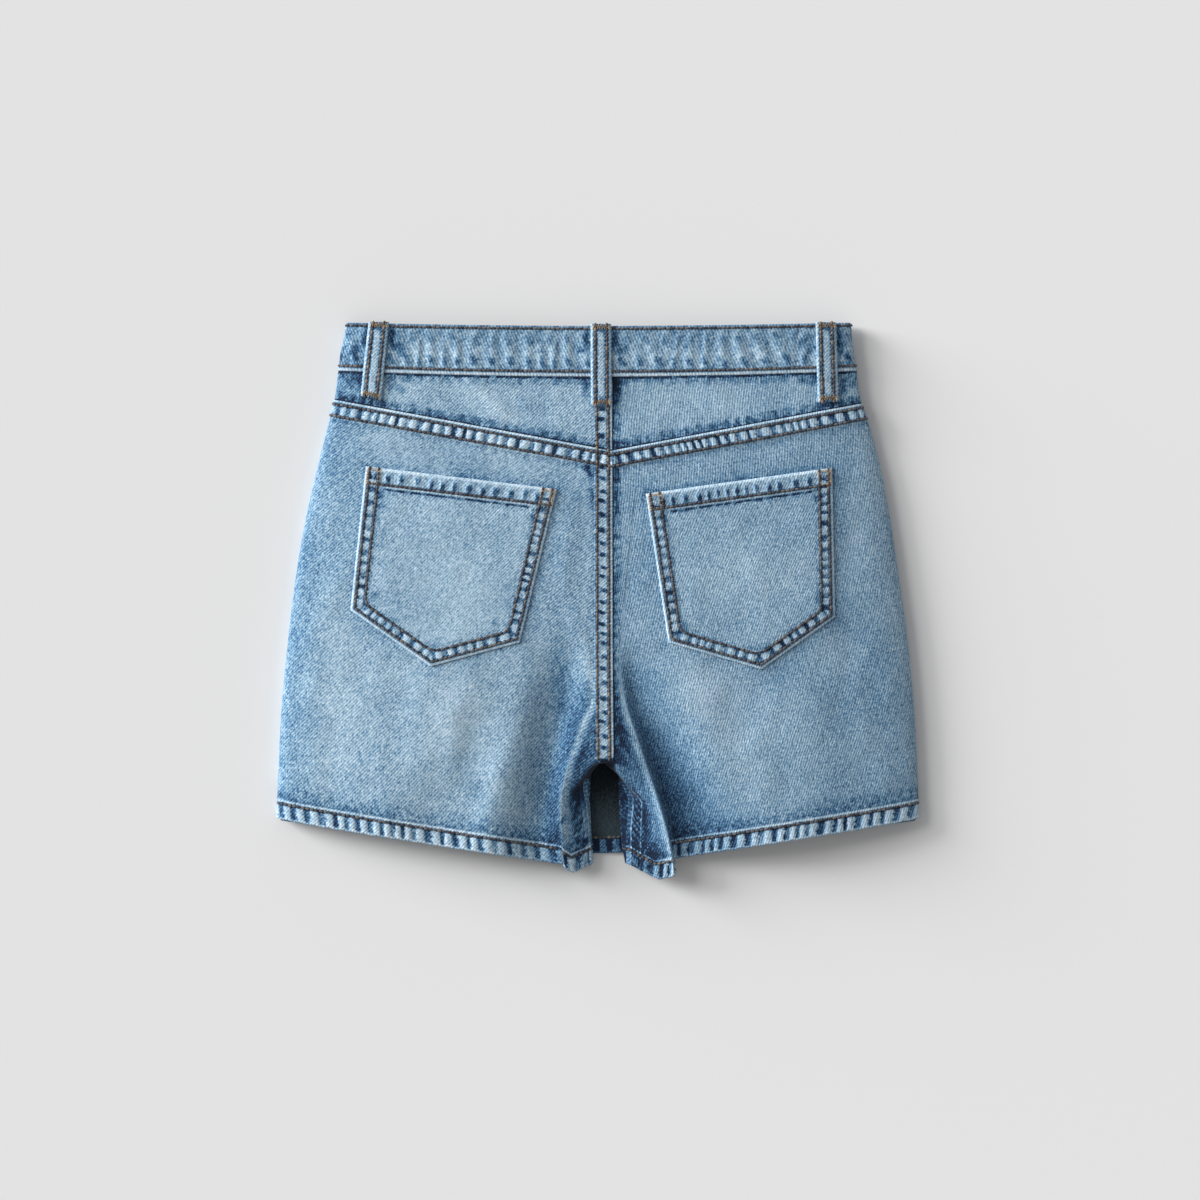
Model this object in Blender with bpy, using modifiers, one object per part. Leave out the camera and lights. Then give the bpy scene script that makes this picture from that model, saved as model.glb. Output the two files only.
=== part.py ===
"""Denim skort laid flat on its front, back up: five-pocket style back with two short legs, and a
skirt panel across the whole front, whose inside shows between the legs.

The frame: +X to the right of the laid garment, +Y towards the waist, +Z up. The sizes and tables
are in millimetres. Left and right are as seen from above, which are also the wearer's.
"""

import bmesh
import bpy
import numpy as np

MM = 0.001

# Cloth
WALL = 1.2  # one layer of denim
HEM_WALL = 2.0  # a turned hem
BAND_WALL = 2.6  # the waistband: outer layer, facing and turnings
LOOP_WALL = 2.1  # a belt loop: a strip folded in three
GAP = 0.3  # between pieces at a seam
FELL = 0.7  # how far a felled seam, or the waistband's edge, stands above the panel
FELL_WIDE = 12.2  # a felled seam's width
HEM_DEEP = 10.5  # a hem's depth

# Heights above the surface that the garment lies on
SEAM_UP = 4.5  # a side seam above the skirt panel's underside
LIFT = LOOP_WALL + GAP  # the front waist lies on its loops and button
LIFT_FROM = 108.0  # y where the skirt panel starts to rise to them
LIFT_TO = 132.0
LIFT_EARLY = 8.0  # the shorts' fronts rise this much lower down
HOLLOW_UP = 9.0  # about the middle of the hollow between back and front
UNDER = WALL + GAP  # the shorts' fronts lie on the skirt panel
UNDER_HEM = HEM_WALL + GAP  # and near the bottom on its hem
ROUND = 2.5  # how boxy the laid garment's cross-section is

# Waist
FRONT_DIP = 5.0  # the front waist is cut lower than the back
LAP = 15.0  # each waistband end passes the centre front by this much
LOOP_LONG = 57.5
LOOP_WIDE = 14.0
FRONT_LOOP_X = 88.0
BUTTON_WIDE = 17.0

SIGN = {"left": -1.0, "right": 1.0}


def table(columns, *rows):
    """A short table, as one array for each named column. Its first column goes up or down."""
    numbers = np.array(rows, float)
    if numbers[0, 0] > numbers[-1, 0]:
        numbers = numbers[::-1]
    return dict(zip(columns.split(), numbers.T))


# The side seams, from the waistband's top edge to the hem
SIDES = table(
    "y left right",
    (199.2, -181.0, 182.0),
    (174.0, -185.6, 185.0),
    (144.0, -189.6, 189.0),
    (122.0, -195.3, 196.4),
    (88.0, -203.8, 205.0),
    (53.0, -211.5, 211.2),
    (19.0, -217.2, 216.2),
    (-24.0, -222.6, 222.2),
    (-85.0, -228.2, 228.0),
    (-156.0, -231.4, 231.2),
)

# How high the back lies along its middle
HEIGHT = table(
    "y top",
    (199.0, 16.1),
    (163.0, 16.7),
    (108.0, 19.8),
    (40.0, 22.6),
    (-40.0, 24.6),
    (-115.0, 25.0),
    (-160.0, 24.0),
    (-200.0, 23.0),
)

# The fold beside each inner thigh: the ridge that the tented crotch ends in, and the valley
# outside it. A drop is measured down from the smooth back.
FOLD = {
    "left": table(
        "y ridge ridge_drop valley valley_drop spread",
        (118.0, -16.0, 0.0, -30.0, 0.0, 22.0),
        (-14.0, -9.0, 0.0, -20.0, 0.0, 22.0),
        (-42.0, -5.5, 0.2, -23.0, 2.6, 20.0),
        (-71.0, -4.2, 0.5, -27.4, 6.5, 19.0),
        (-89.0, -11.5, 1.0, -30.2, 9.0, 19.0),
        (-105.0, -16.6, 1.8, -32.4, 10.0, 19.5),
        (-126.0, -22.8, 3.0, -36.0, 11.0, 20.0),
        (-147.0, -26.4, 5.0, -39.6, 11.5, 21.0),
        (-172.0, -25.2, 7.0, -41.8, 11.5, 22.0),
        (-197.0, -22.3, 8.5, -41.0, 11.0, 23.0),
    ),
    "right": table(
        "y ridge ridge_drop valley valley_drop spread",
        (118.0, 31.0, 0.0, 46.0, 0.0, 20.0),
        (-28.0, 16.0, 0.0, 27.0, 0.0, 20.0),
        (-42.0, 14.8, 0.2, 24.0, 1.4, 18.0),
        (-71.0, 18.7, 0.6, 28.0, 5.0, 21.0),
        (-101.0, 28.4, 1.2, 37.5, 9.0, 25.0),
        (-140.0, 41.8, 3.0, 49.0, 11.5, 32.0),
        (-173.0, 51.1, 5.0, 58.3, 12.0, 40.0),
        (-197.0, 55.0, 7.0, 63.4, 12.0, 43.0),
    ),
}

# Soft folds across the back: a line, its height (less than 0 for a trough) and its half width
WAVES = table(
    "x0 y0 x1 y1 up wide",
    (-84.0, -96.0, -114.0, -172.0, -1.7, 20.0),
    (-66.0, -128.0, -70.0, -172.0, 1.3, 15.0),
    (-112.0, -66.0, -150.0, -150.0, 1.0, 22.0),
    (64.0, -52.0, 92.0, -110.0, 1.2, 20.0),
    (182.0, -40.0, 204.0, -140.0, -1.0, 20.0),
    (150.0, -90.0, 142.0, -160.0, 1.0, 22.0),
)

# A back panel's inner part. Its seam is the centre back down to the crotch, and the inseam below;
# the shoulder is where the cloth turns down between them. "along" is 0 at the yoke and 1 at the
# hem, and a drop is measured down from the smooth back.
SEAM = {
    "left": table(
        "along x y drop",
        (0.0, 9.9, 107.4, 0.0),
        (0.51, 10.2, -42.0, 0.0),
        (0.664, 10.6, -90.5, 0.0),
        (0.716, 10.8, -108.4, 0.3),
        (0.740, 10.4, -114.8, 2.0),
        (0.752, 8.0, -116.2, 8.0),
        (0.765, 3.6, -116.0, 15.0),
        (0.785, -4.0, -122.6, 15.5),
        (0.82, -10.8, -133.2, 15.6),
        (0.854, -8.2, -146.9, 15.6),
        (0.937, -5.6, -170.6, 15.8),
        (1.0, -4.8, -188.6, 15.8),
    ),
    "right": table(
        "along x y drop",
        (0.0, 9.9, 107.4, 0.0),
        (0.51, 10.2, -42.0, 0.0),
        (0.664, 10.6, -90.5, 0.0),
        (0.716, 10.8, -108.4, 0.3),
        (0.740, 10.4, -114.8, 2.0),
        (0.752, 8.0, -116.2, 8.0),
        (0.765, 3.6, -116.0, 15.0),
        (0.785, 14.6, -125.3, 15.2),
        (0.82, 21.6, -134.6, 15.0),
        (0.854, 25.2, -143.0, 14.6),
        (0.937, 23.4, -168.0, 14.0),
        (1.0, 23.6, -189.4, 14.2),
    ),
}
SHOULDER = {
    "left": table(
        "along x y drop",
        (0.0, -2.3, 110.4, 0.0),
        (0.664, -1.6, -90.5, 0.0),
        (0.716, -1.8, -109.0, 0.4),
        (0.740, -2.2, -114.0, 1.2),
        (0.765, -7.9, -120.2, 3.0),
        (0.785, -12.6, -128.2, 4.5),
        (0.82, -18.6, -136.4, 6.4),
        (0.854, -21.0, -146.9, 7.6),
        (0.937, -20.6, -170.6, 9.4),
        (1.0, -18.2, -194.8, 10.8),
    ),
    "right": table(
        "along x y drop",
        (0.0, 19.0, 108.8, 0.0),
        (0.51, 12.2, -42.0, 0.0),
        (0.664, 16.2, -90.5, 0.2),
        (0.716, 13.4, -109.6, 0.4),
        (0.740, 13.7, -116.0, 1.6),
        (0.765, 15.6, -122.6, 4.6),
        (0.785, 18.6, -129.0, 7.0),
        (0.82, 25.0, -137.0, 9.4),
        (0.854, 30.4, -143.6, 10.6),
        (0.937, 37.4, -168.4, 10.8),
        (1.0, 43.6, -199.4, 10.6),
    ),
}

# A shorts front on the hidden side: its centre front down to the crotch, and the fold that its
# inner leg makes beside the gap between the legs. "up" is above the layer below it.
CENTRE_FRONT = table(
    "along x y up",
    (0.0, 5.0, 156.7, 0.0),
    (0.62, 5.0, -71.0, 0.0),
    (0.68, 5.0, -91.0, 0.4),
    (0.716, 4.6, -103.0, 1.8),
    (0.740, 4.2, -110.4, 4.2),
    (0.752, 3.9, -113.6, 6.2),
    (0.765, 3.6, -116.0, 8.4),
)
INNER_FOLD = {
    "left": table(
        "along x y up",
        (0.0, -1.0, 156.8, 0.0),
        (0.62, -1.0, -71.0, 0.0),
        (0.716, 0.2, -104.6, 0.8),
        (0.740, 0.2, -113.0, 1.8),
        (0.765, -2.6, -118.0, 2.6),
        (0.785, -4.6, -123.4, 2.9),
        (0.82, -5.6, -133.9, 3.0),
        (0.854, -5.5, -146.9, 3.0),
        (0.937, -4.4, -170.6, 3.0),
        (1.0, -3.2, -187.6, 3.0),
    ),
    "right": table(
        "along x y up",
        (0.0, 11.0, 156.8, 0.0),
        (0.62, 11.0, -71.0, 0.0),
        (0.716, 10.0, -104.0, 0.8),
        (0.740, 10.2, -112.0, 1.8),
        (0.765, 12.0, -117.4, 2.6),
        (0.785, 14.6, -123.8, 2.9),
        (0.82, 15.0, -134.6, 3.0),
        (0.854, 15.2, -146.9, 3.0),
        (0.937, 16.6, -170.6, 3.0),
        (1.0, 19.4, -188.2, 3.0),
    ),
}

# Where the rows of a back panel start and end: at the side seam, at the foot of the fold and at
# its ridge
ENDS = {
    "left": table("row side foot ridge", (0, 144.2, 112.5, 112.2), (1, -155.4, -188.6, -191.4)),
    "right": table("row side foot ridge", (0, 141.4, 111.7, 111.4), (1, -155.4, -184.4, -197.0)),
}

# The corners of the back pockets, and the corners of the loops' ends
POCKET = {
    "left": {
        "outer_top": (-166.5, 96.6),
        "inner_top": (-29.8, 80.1),
        "inner_low": (-56.2, -29.5),
        "point": (-120.2, -46.7),
        "outer_low": (-177.5, -6.4),
    },
    "right": {
        "outer_top": (168.0, 95.5),
        "inner_top": (34.6, 76.8),
        "inner_low": (50.6, -29.5),
        "point": (117.3, -48.8),
        "outer_low": (170.1, -11.4),
    },
}
POCKET_POINT_AT = 0.53  # how far along the bottom the pocket's point is, from its outer corner
BACK_LOOPS = table(
    "x_top x_low y_top y_low",
    (-157.5, -163.2, 199.7, 143.4),
    (2.2, 2.4, 198.2, 140.6),
    (163.9, 165.4, 199.5, 143.6),
)
BACK_LOOP_NAMES = ("loop_back_left", "loop_back_center", "loop_back_right")

# Colours, as linear values
DENIM = (0.26, 0.37, 0.49)
DENIM_SHADE = (0.17, 0.26, 0.37)
DENIM_INSIDE = (0.13, 0.17, 0.17)
BRASS = (0.55, 0.42, 0.24)


def read(rows, column, at):
    """A table's column between its rows, on a smooth curve that never passes a row's value."""
    knots = next(iter(rows.values()))
    values = rows[column]
    step = np.diff(knots)
    slope = np.diff(values) / step
    product = slope[:-1] * slope[1:]
    total = np.where(product > 0, slope[:-1] + slope[1:], 1.0)
    tangent = np.concatenate(
        [slope[:1], np.where(product > 0, 2 * product / total, 0.0), slope[-1:]]
    )
    at = np.clip(at, knots[0], knots[-1])
    i = np.clip(np.searchsorted(knots, at) - 1, 0, len(step) - 1)
    s = (at - knots[i]) / step[i]
    start = values[i] * (1 + 2 * s) + tangent[i] * step[i] * s
    end = values[i + 1] * (3 - 2 * s) + tangent[i + 1] * step[i] * (s - 1)
    return start * (1 - s) ** 2 + end * s**2


def ease(s):
    """0 to 1 with no corner, for s from 0 to 1."""
    s = np.clip(s, 0.0, 1.0)
    return s * s * (3 - 2 * s)


def mix(a, b, s):
    return a + (b - a) * s


def points(x, y, z):
    return np.stack(np.broadcast_arrays(x, y, z), axis=-1).astype(float)


# ---------------------------------------------------------------- the form of the laid garment


def lift(y):
    """How far the skirt panel lies above the surface, near the waist."""
    return LIFT * ease((y - LIFT_FROM) / (LIFT_TO - LIFT_FROM))


def dip(side, x, y):
    """How far a side's fold drops the back at a place."""
    fold = FOLD[side]
    ridge = read(fold, "ridge", y)
    valley = read(fold, "valley", y)
    valley_drop = read(fold, "valley_drop", y)
    outward = SIGN[side] * (x - valley)
    outside = valley_drop * np.exp(-((outward / read(fold, "spread", y)) ** 2))
    s = -outward / (SIGN[side] * (valley - ridge))
    ridge_drop = read(fold, "ridge_drop", y) * np.clip(2 - s, 0, 1)
    return np.where(outward > 0, outside, mix(valley_drop, ridge_drop, ease(s)))


def wave(x, y):
    """The soft folds' height at a place."""
    total = np.zeros(np.broadcast(x, y).shape)
    for x0, y0, x1, y1, up, wide in zip(*WAVES.values()):
        long = np.hypot(x1 - x0, y1 - y0)
        along = ((x - x0) * (x1 - x0) + (y - y0) * (y1 - y0)) / long
        across = ((x - x0) * (y1 - y0) - (y - y0) * (x1 - x0)) / long
        past = np.maximum(np.abs(along - long / 2) - long / 2, 0)
        total += up * np.exp(-((across / wide) ** 2) - (past / (1.5 * wide)) ** 2)
    return total


def smooth_back(x, y):
    """The outer face of the back, without its folds."""
    left = read(SIDES, "left", y)
    right = read(SIDES, "right", y)
    s = np.clip(np.abs(2 * x - left - right) / (right - left), 0, 1)
    low = lift(y) + SEAM_UP
    return low + (read(HEIGHT, "top", y) - low) * (1 - s**ROUND) ** (1 / ROUND)


def back_height(x, y):
    """The outer face of the back, as high above the surface as it lies."""
    edge = np.minimum(x - read(SIDES, "left", y), read(SIDES, "right", y) - x)
    folds = wave(x, y) * ease(edge / 12) - dip("left", x, y) - dip("right", x, y)
    return smooth_back(x, y) + folds


def back_waist(x):
    """The y of the waistband's lower edge on the back, and of its top edge."""
    return 162.0 + 4.4 * (x / 187) ** 2, 196.6 + 2.6 * (x / 181) ** 2


def front_waist(x):
    """The same on the front, which is cut lower."""
    low, top = back_waist(x)
    dropped = FRONT_DIP * (1 - np.clip(np.abs(x) / 184, 0, 1) ** 2)
    return low - dropped, top - dropped


def yoke_seam(side, x):
    """The y of the seam below the yoke, which falls to a point at the centre back."""
    span = (x - 9.9) / (189.2 - 9.9 if side == "right" else -189.6 - 9.9)
    rise = ENDS[side]["side"][0] - 107.4
    return 107.4 + rise * np.clip(span, 0, 1)


def inner_point(rows, along):
    """A point of a back panel's seam or shoulder line."""
    x = read(rows, "x", along)
    y = read(rows, "y", along)
    middle = read(HEIGHT, "top", y)
    base = np.where(along < 0.6, smooth_back(x, y), middle)
    return points(x, y, base - read(rows, "drop", along))


def back_panel(side, u, along):
    """A back panel: u is 0 at the side seam, 1 at the fold's ridge, 1.5 at the shoulder and 2 at
    the centre back or inseam."""
    sign = SIGN[side]
    row = ENDS[side]
    y_side, y_foot, y_ridge = (
        mix(row[key][0], row[key][1], along) for key in ("side", "foot", "ridge")
    )
    foot_x = read(FOLD[side], "ridge", y_foot) + sign * 1.6
    across = np.clip(u / 0.97, 0, 1)
    y = mix(y_side, y_foot, across**0.92)
    x = mix(read(SIDES, side, y_side), foot_x, across)
    ridge_x = read(FOLD[side], "ridge", y_ridge)
    over = np.clip((u - 0.97) / 0.03, 0, 1)
    x = mix(x, ridge_x, over)
    y = mix(y, y_ridge, over)
    y = np.where(along <= 0, yoke_seam(side, x), y)
    main = points(x, y, back_height(x, y))
    edge = u <= 0
    main[edge, 0] = read(SIDES, side, y[edge])
    main[edge, 2] = lift(y[edge]) + SEAM_UP
    shoulder = inner_point(SHOULDER[side], along)
    seam = inner_point(SEAM[side], along)
    first = np.clip((u - 1) * 2, 0, 1)[:, None]
    second = np.clip((u - 1.5) * 2, 0, 1)[:, None]
    result = mix(mix(main, shoulder, first), seam, second)
    relief = FELL * (along < 0.042)
    if side == "left":
        relief = np.maximum(relief, FELL * (u > 1.52) * ease((0.75 - along) / 0.02))
    result[:, 2] += relief * (u > 0.03)
    result[:, 1] = np.where(along <= 0, yoke_seam(side, result[:, 0]), result[:, 1])
    return result


def shorts_front(side, u, along):
    """A shorts front, outer face down: u is 0 at the centre front or inseam, 0.5 at the inner
    fold, 1 where it lies flat, and 2 at the side seam."""
    sign = SIGN[side]
    bed = mix(UNDER, UNDER_HEM, ease((along - 0.83) / 0.06))
    x = read(CENTRE_FRONT, "x", along)
    y = read(CENTRE_FRONT, "y", along)
    centre = points(x, y, bed + lift(y + LIFT_EARLY) + read(CENTRE_FRONT, "up", along))
    inseam = inner_point(SEAM[side], along)
    seam = np.where((along < 0.765)[:, None], centre, inseam)
    x = read(INNER_FOLD[side], "x", along)
    y = read(INNER_FOLD[side], "y", along)
    fold = points(x, y, bed + lift(y + LIFT_EARLY) + read(INNER_FOLD[side], "up", along))
    flat_y = np.where(along < 0.7, y, y + 1.0)
    flat = points(x + sign * 3.6, flat_y, bed + lift(flat_y + LIFT_EARLY))
    y_side = mix(166.0, -154.0, along)
    side_x = read(SIDES, side, y_side) - sign * (WALL + 1.5 * GAP)
    over = np.clip(u - 1, 0, 1)
    y = mix(flat_y, y_side, over)
    low = bed + lift(y + LIFT_EARLY * (1 - over**2))
    roll = SEAM_UP - GAP - bed
    turn = np.clip((u - 1.9) / 0.1, 0, 1) * np.pi / 2
    reach = mix(flat[:, 0], side_x - sign * roll, np.clip(over / 0.9, 0, 1))
    under = points(reach + sign * roll * np.sin(turn), y, low + roll * (1 - np.cos(turn)))
    first = np.clip(u * 2, 0, 1)[:, None]
    second = np.clip(u * 2 - 1, 0, 1)[:, None]
    inner = mix(mix(seam, fold, first), flat, second)
    result = np.where((u > 1)[:, None], under, inner)
    result[:, 1] = np.where(along <= 0, front_waist(result[:, 0])[0] - GAP, result[:, 1])
    return result


def skirt_hem(x):
    """The y of the skirt panel's bottom edge, which stays just inside the legs' hems."""
    return -180.7 + 29.5 * np.clip(np.abs(x) / 231, 0, 1) ** 1.6


def skirt_front(u, along):
    """The skirt panel, outer face down: u is -1 and 1 at the side seams."""
    y_side = mix(166.0, -152.5, along)
    side_x = np.where(u < 0, read(SIDES, "left", y_side), read(SIDES, "right", y_side))
    flat_x = side_x - np.sign(u) * (SEAM_UP - GAP)
    x = flat_x * np.clip(np.abs(u) / 0.96, 0, 1)
    y = mix(front_waist(x)[0] - GAP, skirt_hem(x), along)
    turn = np.clip((np.abs(u) - 0.96) / 0.04, 0, 1) * np.pi / 2
    roll = SEAM_UP - GAP
    x = x + np.sign(u) * roll * np.sin(turn)
    return points(x, y, lift(y) + roll * (1 - np.cos(turn)))


def yoke(side, u, down):
    """A yoke half: u is 0 at the side seam and 1 at the centre back."""
    y_side = mix(166.4 - GAP, ENDS[side]["side"][0] + GAP, down)
    x = mix(read(SIDES, side, y_side), 9.9, u)
    y = mix(back_waist(x)[0] - GAP, yoke_seam(side, x) + GAP, down)
    x = np.where(u <= 0, read(SIDES, side, y), x)
    z = back_height(x, y)
    z = np.where(u <= 0, lift(y) + SEAM_UP, z)
    if side == "left":
        z = z + FELL * (np.abs(x - 9.9) < FELL_WIDE - 0.3)
    return points(x, y, z)


def waistband(around, down):
    """The waistband: around is 0 at its left end, 1 and 2 at the left turn, 4 and 5 at the right
    turn, and 6 at its right end, which lies inside the left one."""
    left = around < 3
    sign = np.where(left, -1.0, 1.0)
    y_side = mix(199.2, 166.4, down)
    edge = np.where(left, read(SIDES, "left", y_side), read(SIDES, "right", y_side))
    on_back = (around >= 2) & (around <= 4)
    s = np.clip((around - 2) / 2, 0, 1)
    span = read(SIDES, "right", y_side) - read(SIDES, "left", y_side)
    back_x = read(SIDES, "left", y_side) + span * s
    from_end = np.where(left, around, 6 - around)
    flat_x = mix(-sign * LAP, edge - sign * SEAM_UP, np.clip(from_end, 0, 1))
    turn = np.clip(from_end - 1, 0, 1) * np.pi / 2
    front_x = flat_x + sign * SEAM_UP * np.sin(turn)
    front_z = LIFT + SEAM_UP * (1 - np.cos(turn))
    tucked = ease((36.0 - front_x) / 18.0) * ~left * (BAND_WALL + GAP)
    front_z = front_z + np.where(from_end < 1, tucked, 0.0)
    x = np.where(on_back, back_x, front_x)
    low, top = back_waist(x)
    front_low, front_top = front_waist(x)
    y = np.where(on_back, mix(top, low, down), mix(front_top, front_low, down))
    rolled = np.abs(np.abs(x) - np.abs(edge)) < 0.01
    z = np.where(on_back & ~rolled, back_height(x, y) + FELL, front_z)
    z = np.where(on_back & rolled, LIFT + SEAM_UP, z)
    return points(x, y, z)


def pocket(side, u, down):
    """A back pocket on its panel: u is 0 at its outer edge, and its bottom comes to a point."""
    corner = {name: np.array(at) for name, at in POCKET[side].items()}
    u = u[:, None]
    down = down[:, None]
    top = mix(corner["outer_top"], corner["inner_top"], u)
    to_point = mix(corner["outer_low"], corner["point"], np.clip(u / (1 - POCKET_POINT_AT), 0, 1))
    past = np.clip((u - 1 + POCKET_POINT_AT) / POCKET_POINT_AT, 0, 1)
    bottom = mix(to_point, corner["inner_low"], past)
    flat = mix(top, bottom, down)
    x, y = flat[:, 0], flat[:, 1]
    return points(x, y, back_height(x, y) + GAP + WALL)


def back_loop(row, u, down):
    """A belt loop on the back, from the waistband's top edge down onto the yoke."""
    x_top, x_low, y_top, y_low = (BACK_LOOPS[key][row] for key in BACK_LOOPS)
    y = mix(y_top, y_low, down)
    x = mix(x_top, x_low, down) + LOOP_WIDE * (u - 0.5)
    on_band = ease((y - 156.5) / 4.0)
    over_seam = abs(x_top - 2.2) < 1
    z = back_height(x, y) + FELL * np.where(over_seam, 1.0, on_band)
    return points(x, y, z + GAP + LOOP_WALL)


def front_loop(sign, u, down):
    """A belt loop on the front, which the garment lies on."""
    x = sign * FRONT_LOOP_X + LOOP_WIDE * (u - 0.5)
    top = front_waist(sign * FRONT_LOOP_X)[1] + 0.4
    return points(x, mix(top, top - LOOP_LONG, down), 0.0 * x)


# ---------------------------------------------------------------- making the pieces


def finish(name, bm, colour, rough=0.9, metal=0.0):
    """Make the object of a closed mesh, with its own material."""
    bmesh.ops.recalc_face_normals(bm, faces=bm.faces)
    if bm.calc_volume(signed=True) < 0:
        bmesh.ops.reverse_faces(bm, faces=bm.faces)
    mesh = bpy.data.meshes.new(name)
    bm.to_mesh(mesh)
    bm.free()
    mesh.shade_smooth()
    mesh.set_sharp_from_angle(angle=np.radians(40))
    material = bpy.data.materials.new(name)
    material.use_nodes = True
    shader = material.node_tree.nodes["Principled BSDF"]
    shader.inputs["Base Color"].default_value = (*colour, 1.0)
    shader.inputs["Roughness"].default_value = rough
    shader.inputs["Metallic"].default_value = metal
    mesh.materials.append(material)
    made = bpy.data.objects.new(name, mesh)
    garment.objects.link(made)
    return made


def cloth(name, surface, us, vs, colour, wall=None, mitre=None):
    """A piece of cloth as a closed wall. surface(u, v) gives its outer face, us and vs are the
    places of its columns and rows, wall(u, v) is its thickness, and mitre(u, v, normals) may turn
    the directions in which the rims go through the cloth."""
    us = np.asarray(us, float)
    vs = np.asarray(vs, float)
    bm = bmesh.new()
    bmesh.ops.create_grid(bm, x_segments=len(us) - 1, y_segments=len(vs) - 1, size=1.0)
    number = bm.verts.layers.int.new("number")
    verts = list(bm.verts)
    cells = np.array([(v.co.x, v.co.y) for v in verts]) / 2 + 0.5
    u = us[np.rint(cells[:, 0] * (len(us) - 1)).astype(int)]
    v = vs[np.rint(cells[:, 1] * (len(vs) - 1)).astype(int)]
    outer = surface(u, v)
    for i, (vert, at) in enumerate(zip(verts, outer)):
        vert.co = at
        vert[number] = i
    bm.normal_update()
    normals = np.array([vert.normal for vert in verts])
    from_hollow = outer - (0.0, 0.0, HOLLOW_UP)
    from_hollow[:, 1] = 0.0
    if (normals * from_hollow).sum() < 0:
        normals = -normals
    if mitre:
        normals = mitre(u, v, normals)
        normals /= np.linalg.norm(normals, axis=1, keepdims=True)
    through = WALL if wall is None else wall(u, v)
    inner = outer - normals * np.reshape(through, (-1, 1))
    extruded = bmesh.ops.extrude_face_region(bm, geom=list(bm.faces))
    for vert in extruded["geom"]:
        if isinstance(vert, bmesh.types.BMVert):
            vert.co = inner[vert[number]]
    bmesh.ops.scale(bm, vec=(MM, MM, MM), verts=bm.verts)
    return finish(name, bm, colour)


def level(normals, where, *axes):
    """Take some axes' part out of the chosen normals, so that a rim is square to its seam."""
    normals = normals.copy()
    for axis in axes:
        normals[where, axis] = 0.0
    return normals


def surface_normal(surface, u, v, step=0.004):
    """The upward or outward direction of a surface, from points a little apart."""
    across = surface(u + step, v) - surface(u - step, v)
    down = surface(u, v + step) - surface(u, v - step)
    normal = np.cross(across, down)
    return normal / np.linalg.norm(normal, axis=1, keepdims=True)


def inseam_normal(side, along):
    """The direction out of the cloth at the inseam, shared by both pieces that meet there."""
    inside = np.full_like(along, 1.98)
    outside = np.full_like(along, 0.02)
    back = surface_normal(lambda u, v: back_panel(side, u, v), inside, along, 0.001)
    front = surface_normal(lambda u, v: shorts_front(side, u, v), outside, along, 0.001)
    back *= np.sign(back[:, 2:3] + 1e-9)
    front *= np.sign(-SIGN[side] * front[:, 0:1] + 1e-9)
    total = back + front
    total[:, 1] *= 0.3
    total = total / np.linalg.norm(total, axis=1, keepdims=True)
    crotch = np.array([0.0, -1.0, 0.0])
    near = ease((along - 0.765) / 0.05)[:, None]
    return mix(crotch, total, near)


def part_from(seam_line, neighbour, wide=0.22):
    """Move points of a seam line off it, towards the piece that they belong to."""
    away = neighbour - seam_line
    return seam_line + away * (wide / np.linalg.norm(away, axis=-1, keepdims=True))


ALONG = (
    0.0, 0.041, 0.043, 0.10, 0.17, 0.25, 0.33, 0.41, 0.48, 0.54, 0.59, 0.64, 0.68, 0.716, 0.740,
    0.752, 0.765, 0.785, 0.80, 0.82, 0.854, 0.90, 0.937, 0.963, 0.967, 1.0,
)  # fmt: skip
ACROSS = (0.0, 0.004, 0.014, 0.04, 0.10, 0.18, 0.27, 0.37, 0.47, 0.57, 0.66, 0.74, 0.81, 0.87)
ACROSS_FOLD = (0.92, 0.95, 0.97, 1.0)
HEM_FROM = 0.965


def hem_wall(u, along):
    return mix(WALL, HEM_WALL, 1.0 * (along > HEM_FROM))


def build_back(side):
    inner = (1.25, 1.5, 1.53, 1.76, 2.0) if side == "left" else (1.25, 1.5, 1.75, 2.0)
    us = (*ACROSS, *ACROSS_FOLD, *inner)

    def surface(u, along):
        found = back_panel(side, u, along)
        seam = u >= 2
        near = back_panel(side, np.full(seam.sum(), 1.9), along[seam])
        found[seam] = part_from(found[seam], near)
        return found

    def mitre(u, along, normals):
        normals = level(normals, u <= 0, 1, 2)
        normals[u <= 0, 0] = SIGN[side]
        normals = level(normals, along <= 0, 1)
        normals = level(normals, (u >= 2) & (along < 0.73), 0)
        turn = (u >= 2) & (along > 0.73) & (along < 0.765)
        down = np.array([0.0, -1.0, 0.25])
        normals[turn] = down
        low = (u >= 2) & (along >= 0.765)
        normals[low] = inseam_normal(side, along[low])
        return normals

    cloth("back_" + side, surface, us, ALONG, DENIM, hem_wall, mitre)


def build_shorts_front(side):
    us = (0.0, 0.25, 0.5, 0.75, 1.0, 1.12, 1.3, 1.5, 1.7, 1.85, 1.9, 1.93, 1.965, 2.0)
    rows = (
        0.0, 0.05, 0.085, 0.11, 0.135, 0.16, 0.19, 0.28, 0.40, 0.52, 0.60, 0.66, 0.70, 0.74,
        0.752, 0.765, 0.785, 0.80, 0.82, 0.854, 0.90, 0.937, 0.963, 0.967, 1.0,
    )  # fmt: skip

    def surface(u, along):
        found = shorts_front(side, u, along)
        seam = u <= 0
        near = shorts_front(side, np.full(seam.sum(), 0.1), along[seam])
        found[seam] = part_from(found[seam], near)
        return found

    def mitre(u, along, normals):
        normals = level(normals, u >= 2, 1, 2)
        normals[u >= 2, 0] = SIGN[side]
        normals = level(normals, along <= 0, 1)
        normals = level(normals, (u <= 0) & (along < 0.765), 0)
        low = (u <= 0) & (along >= 0.765)
        normals[low] = inseam_normal(side, along[low])
        return normals

    cloth("shorts_front_" + side, surface, us, rows, DENIM_SHADE, hem_wall, mitre)


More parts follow.
